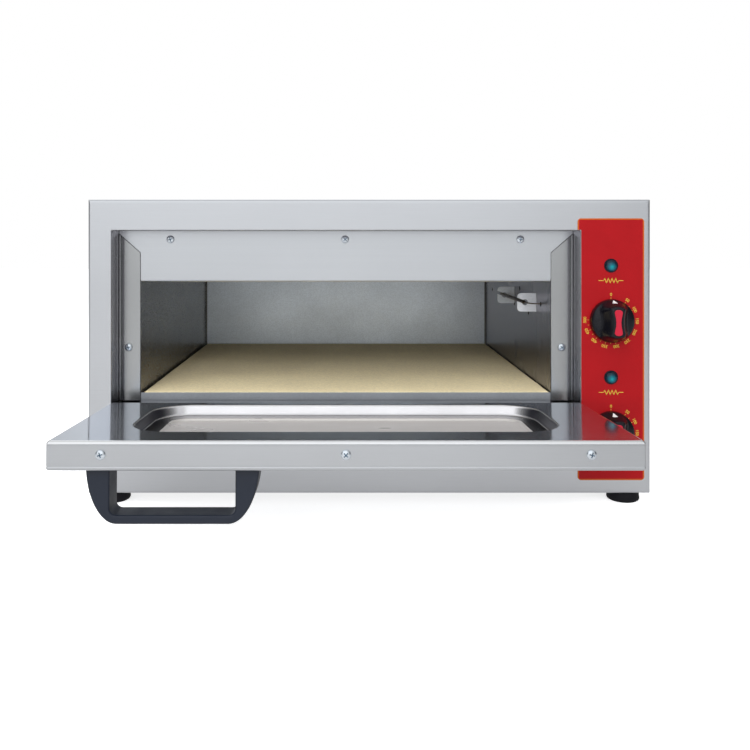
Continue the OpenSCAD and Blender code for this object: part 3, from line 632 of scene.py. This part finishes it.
def add_bevel(thing, width, segments=2):
    edge = thing.modifiers.new("edge", "BEVEL")
    edge.limit_method = "ANGLE"
    edge.angle_limit = radians(35)
    edge.width = width
    edge.segments = segments
    return edge


def dress(thing, slot, body, replaces, sharp, weight, look=None, second=None):
    """Smooth shading, material, body and slot of a finished piece; look replaces the slot's own."""
    data = thing.data
    data.name = thing.name
    for face in data.polygons:
        face.use_smooth = True
    data.set_sharp_from_angle(angle=radians(sharp))
    marks = [face.material_index for face in data.polygons]
    data.materials.clear()
    data.materials.append(MATERIALS[look or slot])
    if second:
        data.materials.append(MATERIALS[second])
        for face, mark in zip(data.polygons, marks):
            face.material_index = mark
    normals = thing.modifiers.new("normals", "WEIGHTED_NORMAL")
    normals.keep_sharp = True
    normals.weight = weight
    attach(thing, body)
    if replaces:
        REPLACED.update(replaces)
        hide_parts(*replaces)
    return thing


def piece(name, mesh, slot, body="oven", place=OVEN, replaces=(), sharp=38, thickness=0, cuts=None,
          bevel=0, segments=2, look=None, second=None):
    """Turns a bmesh into a finished piece: sheet thickness, cuts, rounded edges and dress."""
    bmesh.ops.remove_doubles(mesh, verts=mesh.verts, dist=1e-4)
    bmesh.ops.recalc_face_normals(mesh, faces=mesh.faces)
    mesh.transform(place)
    thing = to_object(name, mesh)
    knife = None
    if thickness:
        add_shell(thing, thickness, True)
    if cuts:
        blade = bmesh.new()
        cuts(blade)
        bmesh.ops.recalc_face_normals(blade, faces=blade.faces)
        blade.transform(place)
        knife = to_object("cutter", blade)
        add_cut(thing, knife)
    if bevel:
        add_bevel(thing, bevel * MM, segments)
    if thickness or cuts or bevel:
        apply_modifiers(thing)
    if knife:
        bpy.data.objects.remove(knife)
    if len(thing.data.vertices) < 8:
        raise ValueError(name + " came out empty")
    return dress(thing, slot, body, replaces, sharp, 60, look, second)


def repaint(thing, place, looks, choose):
    """Adds looks to a piece; choose gives the index of each face's look from its middle."""
    for look in looks:
        thing.data.materials.append(MATERIALS[look])
    back = place.inverted()
    for face in thing.data.polygons:
        face.material_index = choose(*(back @ face.center))


def front_sheet(name, rows, replaced, look=None):
    """Trim sheet that faces -Y, so its thickness goes backwards."""
    mesh = bmesh.new()
    skin(mesh, rows)
    for face in mesh.faces:
        face.normal_update()
    if sum(face.normal.y * face.calc_area() for face in mesh.faces) > 0:
        bmesh.ops.reverse_faces(mesh, faces=mesh.faces)
    mesh.transform(OVEN)
    thing = to_object(name, mesh)
    add_shell(thing, TRIM_SHEET, False)
    apply_modifiers(thing)
    return dress(thing, "trim_steel", "oven", [replaced], 35, 50, look)


# ---- casing

FASCIA_SHEET, COVER_SHEET, BACK_SHEET, LOUVRE_SHEET, TRIM_SHEET = 0.7, 1.2, 1.2, 0.9, 0.55
PAN_SHEET, SKIN_SHEET = 0.9, 1.1

TOP_TRIM = from_world("top_trim")
MOUTH_L, MOUTH_R = TOP_TRIM[0].x - 0.3, TOP_TRIM[1].x + 0.3
MOUTH_X = (MOUTH_L + MOUTH_R) / 2
MOUTH_TOP = TOP_TRIM[1].z + 0.3
HALF, REVEAL, TOP = from_world("front_fascia")[1]
HINGE_MM = OVEN.inverted() @ Vector(HINGE["pos_m"])
SILL = HINGE_MM.z + 9.2
LIP = 12  # how far the fascia's rim reaches back
MITRE_OUT, MITRE_IN = MOUTH_TOP - 3.2, 237.0  # ends of the mitre between the trims
BACK = from_world("back_panel")[1].y
ARM_GAP = 7  # width of the fascia's slot for a hinge arm
VENTS = [60 + i * 14 for i in range(6)]  # low edges of the side vents
LOUVRES = [150 + i * 14 for i in range(7)]  # low edges of the slots under the louvres
SLOT_HIGH = 5
HOOD = ((0.02, 8.2), (0.55, 7.6), (0.9, 5.6), (1.0, 3.0), (0.99, 0.8))  # (share, height)
HOOD_X, HOOD_WIDE, HOOD_DEEP, HOOD_STEPS = 224, 42, 4.2, 12


def make_fascia():
    outer, hole = ((-HALF, 0), (HALF, TOP)), ((MOUTH_L, SILL), (MOUTH_R, MOUTH_TOP))
    bend, lip_bend = 2.6, 0.8

    def ring(inset, y, box, radius):
        return [(x, y, z) for x, z in inset_ring(inset, *box, radius, 5)]

    rings = [ring(0, LIP, outer, 0.8), ring(0, 6, outer, 0.8)]
    for along, back in arc((bend, bend), bend, 180, 270, 6):
        rings.append(ring(along, back, outer, max(0.8, 2.4 - abs(along - bend))))
    rings += [ring(4, 0, outer, 2.4), ring(-lip_bend - 0.6, 0, hole, 1.8)]
    for along, back in arc((-lip_bend, lip_bend), lip_bend, -90, 0, 4):
        rings.append(ring(along, back, hole, 0.8))
    rings += [ring(0, 2.5, hole, 0.5), ring(0, REVEAL, hole, 0.5)]
    mesh = bmesh.new()
    loft(mesh, rings)

    def cuts(knife):
        for side in (-1, 1):
            x = MOUTH_X + side * (MOUTH_R - MOUTH_X - 9.5)
            cuboid(knife, (x - ARM_GAP / 2, x + ARM_GAP / 2), (-2, 40),
                   (HINGE_MM.z - 5.1, SILL + 1.5))

    sheet = piece("fascia_sheet", mesh, "fascia_steel", replaces=["front_fascia"],
                  thickness=FASCIA_SHEET, cuts=cuts)
    # The reveal walls inside the mouth get the darker steel: painted shade in the recess.
    repaint(sheet, OVEN, ["reveal_painted_shade"], lambda x, y, z: int(
        y > 1.3 and MOUTH_L - 2 < x < MOUTH_R + 2 and SILL - 2 < z < MOUTH_TOP + 2))


def make_cover():
    """Top and both sides in one bent sheet, with vent slots on the control side."""
    bend = 3
    profile = [(-HALF, 0), (-HALF, 30)]
    profile += arc((-HALF + bend, TOP - bend), bend, 180, 90, 6)
    profile += arc((HALF - bend, TOP - bend), bend, 90, 0, 6)
    profile += [(HALF, 30), (HALF, 0)]
    mesh = bmesh.new()
    skin(mesh, [[(x, y, z) for x, z in profile] for y in (LIP + 0.15, 40, BACK - 10, BACK)])

    def cuts(knife):
        for z in VENTS:
            slot = rounded_rectangle((300, z), (400, z + SLOT_HIGH), 2.4, 4)
            extrude_outline(knife, slot, FROM_X, HALF - 4, HALF + 4)

    piece("cover_sheet", mesh, "cover_steel", replaces=["outer_cover"], thickness=COVER_SHEET,
          cuts=cuts)


def make_back_panel():
    """Flat panel with pressed louvre hoods over its vent slots."""
    mesh = bmesh.new()
    cuboid(mesh, (-HALF + COVER_SHEET, HALF - COVER_SHEET), (BACK - BACK_SHEET, BACK),
           (0.2, TOP - COVER_SHEET))
    gland_x, gland_z = middle("cable_gland")

    def cuts(knife):
        for z in LOUVRES:
            slot = rounded_rectangle((225, z), (265, z + SLOT_HIGH), 1.5, 3)
            extrude_outline(knife, slot, FROM_Y, BACK - 4, BACK + 4)
        lathe(knife, [(0.01, -4), (7.9, -4), (7.9, 4), (0.01, 4)],
              facing(gland_x, BACK, gland_z, -1))

    piece("back_sheet", mesh, "galvanised", replaces=["back_panel"], cuts=cuts, bevel=0.2)
    hoods = bmesh.new()
    for z in LOUVRES:
        stations = []
        for step in range(HOOD_STEPS + 1):
            t = step / HOOD_STEPS
            swell = sin(pi * t) ** 0.35 if 0 < t < 1 else 0
            stations.append([(HOOD_X + HOOD_WIDE * t, BACK + 0.05 + HOOD_DEEP * swell * share,
                              z + height) for share, height in HOOD])
        skin(hoods, stations)
    piece("back_louvres", hoods, "galvanised", thickness=LOUVRE_SHEET, sharp=60)


def make_chamber_back():
    """Back wall of the chamber, wider to the right than its CAD node and a little short at left; its look is a
    much brighter copy of the chamber sheet, painted light.
    """
    low, high = from_world("chamber_back_wall")
    right = from_world("chamber_right_wall")[0].x - 2
    mesh = bmesh.new()
    cuboid(mesh, (low.x + 0.6, right), (low.y, high.y), (low.z, high.z))
    piece("chamber_back_sheet", mesh, "chamber_sheet", replaces=["chamber_back_wall"], bevel=0.25,
          look="chamber_back")


# ---- trims

SIDE_TRIM_LOW = 86.6
SIDE_LIP, SIDE_WIDE, SIDE_DEEP = 2.4, 3.6, 1.6  # flat outer lip, then the curve to the face
TOP_TRIM_DROP, TOP_TRIM_ROLL = 1.6, 1.8


def make_side_trims():
    """Side trims: a raised flat lip at the outer edge, which curves down to the flat face."""
    for name, side in (("side_trim_left", -1), ("side_trim_right", 1)):
        box = from_world(name)
        inner, outer = (box[1].x, box[0].x) if side < 0 else (box[0].x, box[1].x)
        front, low = box[0].y, SIDE_TRIM_LOW
        columns = [(outer - side * away, front + back) for away, back in (
            (0, 6), (0, 0.5), (0.15, 0.15), (0.45, 0), (1.7, 0), (2.0, 0.25), (2.2, 0.9))]
        columns += [(outer - side * (SIDE_LIP + SIDE_WIDE * (1 - cosd(a))),
                     front + SIDE_DEEP * (1 - sind(a))) for a in range(0, 91, 10)]
        columns += [(inner + side * 0.9, front), (inner + side * 0.35, front + 0.12),
                    (inner, front + 0.5)]
        rows = []
        for x, y in columns:
            high = MITRE_IN + (MITRE_OUT - MITRE_IN) * (x - inner) / (outer - inner) - 0.35
            rows.append([(x, y, z) for z in (low, low + 1, (low + high) / 2, high - 1, high)])
        # The side trims wear a darker copy of the trim steel: painted shade.
        front_sheet(name + "_sheet", rows, name, "side_trim_steel_painted_shade")


def make_top_trim():
    """Flat trim above the chamber: mitred ends, and a lower edge that rolls back under."""
    low, high = from_world("top_trim")
    low.z -= TOP_TRIM_DROP
    inner = (from_world("side_trim_left")[1].x, from_world("side_trim_right")[0].x)
    front, roll = low.y, TOP_TRIM_ROLL
    profile = [(front, high.z), (front, MITRE_OUT + 0.3), (front, MITRE_IN + 0.3),
               (front, low.z + roll + 1.5)]
    profile += [(front + roll - roll * cosd(a), low.z + roll - roll * sind(a))
                for a in range(0, 91, 18)]
    profile += [(front + 6, low.z), (front + 12, low.z)]
    rows = []
    for i, (y, z) in enumerate(profile):
        if i < 2:
            left, right = low.x, high.x
        else:
            spare = 0.1 if i < 4 else -0.3
            left, right = inner[0] - spare, inner[1] + spare
        rows.append([(x, y, z) for x in (left, -120, 0, 120, right)])
    front_sheet("top_trim_sheet", rows, "top_trim")


# ---- door

DOOR_ROLL, SKIN_BEND = 2.4, 1.9
DOOR_CORNER = 1.5
PAN_HALF, PAN_FRONT, PAN_BACK, PAN_CORNER = 179.5, 35.4, 14.4, 35
PAN_STEPS = ((-1.8, 0), (-1.0, 0.12), (-0.3, 0.5), (0.3, 1.2), (0.7, 2.1), (2.2, 7.2), (2.6, 8.1),
             (3.2, 8.8), (3.9, 9.15), (4.8, 9.3), (17.0, 9.3), (17.7, 9.36), (18.4, 9.55),
             (19.0, 9.95), (19.6, 10.6), (20.2, 11.1), (20.9, 11.4), (21.9, 11.5), (27, 11.5))
# The rim and edge looks are shaded and lit copies of one steel: painted shade low on the roll, painted highlight
# on its top.
PAN_LOOKS = ("pan_wall", "pan_floor", "door_steel", "pan_shelf", "edge_steel_painted_highlight")
FLAT, WALL, FLOOR, RIM, SHELF, EDGE = range(6)
ARM_X = 222.15  # middle of a hinge arm from the door's


def door_values():
    """Door dimensions in its own frame, from its flat nodes."""
    low, high = extent("door_inner_panel", DOOR)
    return {"half": high[0], "free": low[1], "hinged": high[1], "over": high[2],
            "under": extent("door_outer_skin", DOOR)[0][2]}


def ring_door(inset, z, d, radius, steps=10):
    box = (-d["half"], d["free"]), (d["half"], d["hinged"])
    return [(x, y, z) for x, y in inset_ring(inset, *box, radius, steps)]


def make_door_panel(d):
    """Inner panel: edges rolled down, and a pan of two steps pressed into it."""
    over, roll = d["over"], DOOR_ROLL
    low, high = (-PAN_HALF, d["free"] + PAN_FRONT), (PAN_HALF, d["hinged"] - PAN_BACK)
    rings = [ring_door(0, over - 3.45, d, DOOR_CORNER)]
    for along, rise in arc((roll, -roll), roll, 180, 90, 7):
        rings.append(ring_door(along, over + rise, d, DOOR_CORNER + along * 0.6))
    rings.append(ring_door(roll + 0.8, over, d, 3.5))
    for inset, depth in ((-2.6, 0), *PAN_STEPS):
        outline = inset_ring(inset, low, high, max(PAN_CORNER - inset, 2), 10)
        rings.append([(x, y, over - depth) for x, y in outline])
    mesh = bmesh.new()
    loft(mesh, rings, cap_last=True)
    sheet = piece("door_pan_sheet", mesh, "door_mirror_steel", "door", DOOR, ["door_inner_panel"],
                  sharp=50, thickness=PAN_SHEET)

    def choose(x, y, z):
        deep = over - z
        if low[0] - 1 < x < high[0] + 1 and low[1] - 1 < y < high[1] + 1:
            return FLAT if deep <= 0.1 else FLOOR if deep > 9.34 else SHELF if deep > 9.18 else WALL
        # The top of the roll gets the near-white steel, a painted highlight; the rest of the roll gets the darker
        # steel, painted shade.
        return FLAT if deep <= 0.03 else EDGE if deep < roll - 0.1 else RIM

    repaint(sheet, DOOR, PAN_LOOKS, choose)


def make_door_skin(d):
    """Outer skin: a tray whose lower edges are bent; slots let the hinge arms through."""
    under, bend = d["under"], SKIN_BEND
    rings = [ring_door(0, d["over"] - 3.55, d, DOOR_CORNER, 5)]
    for deep, rise in ((0, 4.1), (0.22, 3.5), (0.22, 3.1), (0, 2.5)):
        rings.append(ring_door(deep, under + rise, d, DOOR_CORNER, 5))
    for along, rise in arc((bend, bend), bend, 180, 270, 6):
        rings.append(ring_door(along, under + rise, d, DOOR_CORNER + along * 0.3, 5))
    rings.append(ring_door(bend + 2, under, d, 2, 5))
    mesh = bmesh.new()
    loft(mesh, rings, cap_last=True)

    def cuts(knife):
        for x in (-ARM_X, ARM_X):
            cuboid(knife, (x - 1.9, x + 1.9), (d["hinged"] - 2, d["hinged"] + 2), (-4.15, 4.8))

    # The door skin wears the darker copy of the body's steel: painted shade.
    piece("door_skin_sheet", mesh, "door_steel", "door", DOOR, ["door_outer_skin"],
          thickness=SKIN_SHEET, cuts=cuts)


# ---- screws

SHANK_R = 1.95
RECESS_TURN, SCREW_TURN = 0.3, 0.5  # radians, so that no two look alike


def cross_head(mesh, seat, radius, height, shank):
    """Domed head with a cross recess on a plain shank; the seat's local Z points out of it."""
    head, knife = bmesh.new(), bmesh.new()
    profile = [(0.05, -shank), (1.7, -shank), (SHANK_R, -shank + 0.5), (SHANK_R, 0),
               (radius * 0.86, 0), (radius * 0.96, height * 0.06), (radius, height * 0.16)]
    profile += [(radius * 0.985 * cosd(a) ** 0.85, height * (0.16 + 0.84 * sind(a) ** 1.1))
                for a in range(8, 88, 8)]
    lathe(head, profile + [(0.05, height)], IDENTITY, 32)
    arm, half = radius * 0.56, radius * 0.105
    quarter = [(half, half), (half, arm), (-half, arm)]
    cross = [point for x, y in ((1, 0), (0, 1), (-1, 0), (0, -1))
             for point in [(px * x - py * y, px * y + py * x) for px, py in quarter]]
    turn = Matrix.Rotation(RECESS_TURN, 4, "Z")
    solid(knife, [[turn @ Vector((x * k, y * k, z)) for x, y in cross]
                  for k, z in ((0.4, height * 0.12), (1.0, height * 0.9), (1.15, height + 0.4))])
    things = []
    # The cross recess faces get the darker blue-grey steel: painted shade inside the cross.
    for part, look in ((head, "screw_steel"), (knife, "recess_painted_shade")):
        bmesh.ops.recalc_face_normals(part, faces=part.faces)
        thing = to_object("screw", part)
        thing.data.materials.append(MATERIALS[look])
        things.append(thing)
    add_cut(*things).material_mode = "TRANSFER"
    apply_modifiers(things[0])
    data = things[0].data
    data.transform(seat)
    mesh.from_mesh(data)
    for thing in things:
        bpy.data.objects.remove(thing)


def make_screws(name, replaced, places, out, place, body, shank):
    """All the screws of one node; every head points along out."""
    mesh = bmesh.new()
    turn = Vector((0, 0, 1)).rotation_difference(Vector(out)).to_matrix().to_4x4()
    for i, where in enumerate(places):
        seat = Matrix.Translation(where) @ turn @ Matrix.Rotation(SCREW_TURN * i, 4, "Z")
        cross_head(mesh, seat, 4, 1.9, shank)
    piece(name, mesh, "screw_steel", body, place, [replaced], sharp=50, second="recess_painted_shade")


# ---- controls

LABEL_FRONT = -0.4
SIGN_UP, SIGN_HALF, SIGN_HIGH = 39.5, 12, 2.4  # heating sign above its knob
DIAL_FIRST, DIAL_STEP = 38.7, 25.9  # degrees to the mark 50, then a mark
DIGITS_R, DIGITS_SIZE = 25.7, 4.1
KNOB_R = 21.4


def make_lenses():
    """Domed lamp lenses on a thin flange; returns the X of the controls."""
    low, high = from_world("lamp_lenses")
    x = (low.x + high.x) / 2
    profile = [(0.01, -2.4), (4.4, -2.4), (4.5, 0), (LENS_R, 0), (LENS_R, 0.55), (6.6, 0.95),
               (6.25, 1.0), (6.1, 0.8)]
    profile += [(6.0 * cosd(a), 0.9 + 3.05 * sind(a)) for a in range(0, 90, 9)] + [(0.01, 3.95)]
    mesh = bmesh.new()
    for z in (low.z + LENS_R, high.z - LENS_R):
        lathe(mesh, profile, facing(x, LABEL_FRONT, z), 48)
    piece("lamp_domes", mesh, "lens", replaces=["lamp_lenses"], sharp=40)
    return x


def stroke(mesh, points, width, depth=0.05):
    """Flat printed line through 2-D points (x, z), in front of the label."""
    for (x0, z0), (x1, z1) in zip(points, points[1:]):
        along = Vector((x1 - x0, z1 - z0)).normalized()
        side = Vector((-along.y, along.x)) * width / 2
        a, b = Vector((x0, z0)) - along * width * 0.25, Vector((x1, z1)) + along * width * 0.25
        outline = [a - side, b - side, b + side, a + side]
        solid(mesh, [[(p.x, y, p.y) for p in outline] for y in (LABEL_FRONT, LABEL_FRONT - depth)])


def round_dial(x, z, value, radius):
    """Angle of a dial's value, and the place at that radius."""
    angle = radians(DIAL_FIRST + DIAL_STEP * (value / 50 - 1) if value else 0)
    return angle, x + radius * sin(angle), z + radius * cos(angle)


def make_label_print(x):
    """Dial numbers, ticks and the plain heating signs, as thin printed shapes."""
    lines, digits = bmesh.new(), bmesh.new()
    wave = [(-SIGN_HALF, 0), (-7.2, 0)]
    for i in range(4):
        wave += [(-6.2 + i * 3.6, SIGN_HIGH), (-4.4 + i * 3.6, -SIGN_HIGH)]
    wave += [(7.4, 0), (SIGN_HALF, 0)]
    for shaft in ("shaft_upper", "shaft_lower"):
        z = middle(shaft)[1]
        stroke(lines, [(x + px, z + SIGN_UP + pz) for px, pz in wave], 0.66)
        for value in (0, *range(50, 501, 25)):
            ends = (22.0, 23.0) if value % 50 else (21.8, 23.2)
            stroke(lines, [round_dial(x, z, value, r)[1:] for r in ends], 0.4)
        for value in range(0, 501, 50):
            curve = bpy.data.curves.new("digits", "FONT")
            curve.body = str(value)
            curve.size = DIGITS_SIZE
            curve.align_x, curve.align_y = "CENTER", "CENTER"
            curve.extrude, curve.offset = 0.02, 0.08
            text = new_object("digits", curve)
            graph = bpy.context.evaluated_depsgraph_get()
            data = bpy.data.meshes.new_from_object(text.evaluated_get(graph))
            angle, px, pz = round_dial(x, z, value, DIGITS_R)
            data.transform(Matrix.Translation((px, LABEL_FRONT - 0.03, pz))
                           @ Matrix.Rotation(angle, 4, "Y") @ facing(0, 0, 0))
            digits.from_mesh(data)
            bpy.data.objects.remove(text)
            bpy.data.meshes.remove(data)
            bpy.data.curves.remove(curve)
    for name, mesh in (("label_lines", lines), ("label_digits", digits)):
        piece(name, mesh, "label", sharp=30, look="printed_ink")


def smooth_step(value):
    value = min(1, max(0, value))
    return value * value * (3 - 2 * value)


def knob_height(x, y):
    """Height of the knob over its back: a shallow dome, with an upright waisted ridge on it."""
    r = hypot(x, y)
    dome = 5.0 + 6.5 * sqrt(max(0, 1 - (r / KNOB_R) ** 2))
    ridge = 22.7 - 1.8 * (y / 18) ** 2
    wide = 3.1 + 3.2 * (y / 16) ** 2
    share = (1 - smooth_step((abs(x) - wide) / 10.5)) * smooth_step((KNOB_R - 0.5 - r) / 7.0)
    return dome + (ridge - dome) * share


def make_knob(which, body):
    """Knob shell, its red inlay along the ridge and a white pointer at its top."""
    x, z = middle("shaft_" + which)
    place = OVEN @ facing(x, -1, z)
    around, across = 120, 46
    rings = [[(r * cos(a), r * sin(a), h) for a in turns(around)] for r, h in (
        (3.2, 0), (KNOB_R - 0.4, 0), (KNOB_R, 0.4), (KNOB_R, 2.6), (KNOB_R - 0.12, 3.6))]
    for step in range(across + 1):
        r = (KNOB_R - 0.5) * (1 - step / across) + 0.05
        ring = [(r * cos(a), r * sin(a)) for a in turns(around)]
        rings.append([(x, y, knob_height(x, y)) for x, y in ring])
    mesh = bmesh.new()
    loft(mesh, rings, cap_last=True)
    piece("knob_shell_" + which, mesh, "knob_plastic", body, place, ["knob_" + which], sharp=60)

    length = 12.5
    outline = []
    for i in range(33):
        y = -length * cos(pi * i / 32)
        outline.append(((2.5 + 1.9 * (y / 10) ** 2) * (1 - (abs(y) / length) ** 6) ** 0.5, y))
    outline += [(-x, y) for x, y in reversed(outline[1:-1])]
    mesh = bmesh.new()
    extrude_outline(mesh, outline, IDENTITY, 20.8, 23.15)
    piece("knob_inlay_" + which, mesh, "knob_insert", body, place, ["knob_insert_" + which],
          sharp=70, bevel=0.45, segments=3)

    mesh = bmesh.new()
    rows = []
    for step in range(5):
        y, half = KNOB_R - 3.3 + step * 0.6, 2.6 * (1 - step / 4.4)
        rows.append([(half * k, y, knob_height(half * k, y) + 0.07) for k in (-1, -0.5, 0, 0.5, 1)])
    skin(mesh, rows)
    piece("knob_mark_" + which, mesh, "knob_plastic", body, place, sharp=60, thickness=0.06,
          look="white_print")


# ---- handle, clips and marks

HANDLE_SPARE, HANDLE_TALL = 1.5, 43.8  # wider than the CAD's at each side; height
HANDLE_SIDE = ((1.0, 0.0), (1.0, -0.06), (0.99, -0.204), (0.97, -0.373), (0.932, -0.56),
               (0.885, -0.715), (0.83, -0.84), (0.775, -0.925), (0.73, -0.968), (0.69, -0.991),
               (0.65, -1.0))  # shares of half the width and of the height
HANDLE_LEG, HANDLE_GRIP, HANDLE_CORNER = 18.6, 7.0, 5.0
CLIP_SHEET, CLIP_CORNER = 1.2, 4.2
BULB_FROM_WALL = 12.4
BULB = ((0, 228, 0.1), (0, 227.6, 1.1), (0, 226.4, 1.8), (0, 225, 2.0), (0, 97, 2.0),
        (0, 95.4, 1.7), (0, 94.4, 0.9), (0, 93.6, 0.62), (0.3, 84, 0.62), (1.4, 78.5, 0.62),
        (3.6, 74.4, 0.62), (6.6, 72, 0.62), (10, 71.2, 0.62))  # from its X, Y, radius
TUBE_END = ((222, 70.9, 0.62), (222.3, 70.9, 0.1))
# Places of thin near-black discs on the wall that stand in for its holes: painted shade.
HOLE_SHADE_SPOTS = ((177.3, 191.4), (205.8, 171), (129.9, 166.6), (361, 178.7), (71.3, 180.8))


def smooth_curve(points, steps=3):
    """Points along a Catmull-Rom curve through the given ones."""
    curve = []
    for i in range(len(points) - 1):
        near = (points[max(i - 1, 0)], points[i], points[i + 1],
                points[min(i + 2, len(points) - 1)])
        for step in range(steps):
            t = step / steps
            curve.append(tuple(0.5 * (2 * b + (c - a) * t + (2 * a - 5 * b + 4 * c - e) * t * t
                                      + (3 * b - a - 3 * c + e) * t ** 3)
                               for a, b, c, e in zip(*near)))
    return curve + [points[-1]]


def make_handle(d):
    """Bridge handle: outer sides curve in to a flat grip, every edge rounded."""
    (left, front, _), (right, rear, _) = extent("door_handle", DOOR)
    half, tall = (right - left) / 2 + HANDLE_SPARE, HANDLE_TALL
    outer = [(half * x, tall * y) for x, y in smooth_curve(HANDLE_SIDE)]
    inner_x, inner_z, corner = half - HANDLE_LEG, -(tall - HANDLE_GRIP), HANDLE_CORNER
    inner = arc((inner_x - corner, inner_z + corner), corner, 0, -90, 6)
    outline = outer + [(-x, y) for x, y in reversed(outer)] + [(-inner_x, 0)]
    outline += [(-x, y) for x, y in inner] + list(reversed(inner)) + [(inner_x, 0)]
    mesh = bmesh.new()
    extrude_outline(mesh, outline, IDENTITY, 0, rear - front)
    bmesh.ops.recalc_face_normals(mesh, faces=mesh.faces)
    edges = [e for e in mesh.edges if e.calc_face_angle(0) > radians(60)
             and not all(v.co.y > -0.01 for v in e.verts)
             and abs(e.verts[0].co.z - e.verts[1].co.z) < 0.01]
    bmesh.ops.bevel(mesh, geom=edges, offset=1.7, segments=4, profile=0.5, affect="EDGES",
                    clamp_overlap=True)
    place = DOOR @ facing((left + right) / 2, rear, d["under"])
    piece("door_bridge_handle", mesh, "handle_plastic", "door", place, ["door_handle"], sharp=50)


def make_clips():
    """Two drilled tabs with round corners that carry the thermostat's bulb."""
    low, high = from_world("bulb_clips")
    level, half, corner = (low.z + high.z) / 2, (high.z - low.z) / 2, CLIP_CORNER
    bottom, top = level - half, level + half
    starts = (low.y, high.y - 12)
    mesh = bmesh.new()
    outline = [(high.x, bottom), (high.x, top)]
    outline += arc((low.x + corner, top - corner), corner, 90, 180, 6)
    outline += arc((low.x + corner, bottom + corner), corner, 180, 270, 6)
    for y in starts:
        solid(mesh, [[(x, depth, z) for x, z in outline] for depth in (y, y + CLIP_SHEET)])
        foot = [(y + 1.0, bottom + 1), (y + 12, bottom + 1), (y + 12, top - 1), (y + 1.0, top - 1)]
        solid(mesh, [[(x, py, z) for py, z in foot] for x in (high.x - CLIP_SHEET, high.x - 0.02)])

    def cuts(knife):
        lean, hole, gap = radians(160), 3.3, 1.8
        centre = Vector((high.x - BULB_FROM_WALL, 0, level))
        along = Vector((cos(lean), 0, sin(lean)))
        across = Vector((-along.z, 0, along.x))
        open_angle = asin(gap / hole)
        keyhole = [centre + along * 18 - across * gap, centre + along * 18 + across * gap]
        for step in range(25):
            a = lean + open_angle + (2 * pi - 2 * open_angle) * step / 24
            keyhole.append(centre + Vector((cos(a), 0, sin(a))) * hole)
        for y in starts:
            solid(knife, [[(v.x, depth, v.z) for v in keyhole] for depth in (y - 1, y + 2.2)])

    tabs = piece("bulb_tabs", mesh, "galvanised", replaces=["bulb_clips"], cuts=cuts, bevel=0.2,
                 look="clip_steel")
    # The rear tab gets the darker copy of the tab steel: painted shade deeper in.
    repaint(tabs, OVEN, ["clip_rear_painted_shade"], lambda x, y, z: int(y > (low.y + high.y) / 2))

    bulb = [(high.x - BULB_FROM_WALL + away, y, r) for away, y, r in BULB] + list(TUBE_END)
    rings = []
    for i, (x, y, radius) in enumerate(bulb):
        before, after = bulb[max(i - 1, 0)], bulb[min(i + 1, len(bulb) - 1)]
        along = Vector((after[0] - before[0], after[1] - before[1], 0)).normalized()
        side = Vector((-along.y, along.x, 0))
        rings.append([Vector((x, y, level)) + side * radius * cos(a)
                      + Vector((0, 0, radius * sin(a))) for a in turns(20)])
    tube = bmesh.new()
    solid(tube, rings)
    piece("bulb_tube", tube, "dark_metal", replaces=["upper_sensor_bulb"], sharp=60)

    # Thin near-black discs where the wall's holes are: painted shade standing in for the holes' dark insides.
    marks = bmesh.new()
    for y, z in HOLE_SHADE_SPOTS:
        lathe(marks, [(0.05, 0), (2.6, 0), (2.5, 0.12), (0.05, 0.12)],
              facing(high.x + 0.02, y, z, -1, "Y"), 20)
    piece("wall_hole_shade_discs", marks, "dark_metal", sharp=40, look="hole_dark")


# ---- finishing of the CAD nodes

PLAIN_BEVEL = 0.25
BEVELS = {"stone_deck": 0.6, "feet": 0.6, "cable_gland": 0.5, "gland_nut": 0.4,
          "terminal_block": 0.6, "thermostat_upper": 0.6, "thermostat_lower": 0.6}
# The right wall's look is a separate dark copy of the chamber sheet: painted shade.
OTHER_FINISH = {"chamber_right_wall": "chamber_right", "deck_front": "lip_steel"}
TRIM_SCREWS = ([(x, REVEAL + 1.2, 250.6) for x in (-202, -23.8, 155)]
               + [(x, REVEAL, 140.6) for x in (-244.4, 196.8)])
BACK_SCREWS = [(x, BACK, z) for x in (-266, -90, 90, 207) for z in (10, 278)]
DOOR_SCREWS_X = (-188.7, 0, 188.7)


def finish_cad_node(name, slot):
    """Material and rounded edges on a node that keeps its CAD shape."""
    thing = frame["nodes"][name]
    thing.data.materials.clear()
    thing.data.materials.append(MATERIALS[slot])
    thing.modifiers.new("weld", "WELD").merge_threshold = 0.00001
    edge = add_bevel(thing, BEVELS.get(name, PLAIN_BEVEL) * MM)
    edge.use_clamp_overlap = True
    edge.harden_normals = True


def main():
    make_camera()
    make_world()
    make_floor()
    for lamp in LAMPS:
        area_light(*lamp)
    make_fascia()
    make_cover()
    make_back_panel()
    make_chamber_back()
    make_side_trims()
    make_top_trim()
    d = door_values()
    make_door_panel(d)
    make_door_skin(d)
    door_screws = [(x, d["free"], d["over"] - 10.6) for x in DOOR_SCREWS_X]
    make_screws("trim_screw_heads", "trim_screws", TRIM_SCREWS, FRONT, OVEN, "oven", 8)
    make_screws("door_edge_screw_heads", "door_edge_screws", door_screws, FRONT, DOOR, "door", 7)
    make_screws("back_screw_heads", "back_screws", BACK_SCREWS, (0, 1, 0), OVEN, "oven", 2)
    make_label_print(make_lenses())
    make_knob("upper", "knob_top")
    make_knob("lower", "knob_bottom")
    make_handle(d)
    make_clips()
    slots = {s["node"]: s["material_slot"] for s in frame["record"]["subparts"]}
    for name in frame["nodes"]:
        if name not in REPLACED:
            finish_cad_node(name, OTHER_FINISH.get(name, slots[name]))


main()
bpy.context.scene.view_settings.view_transform = "Standard"
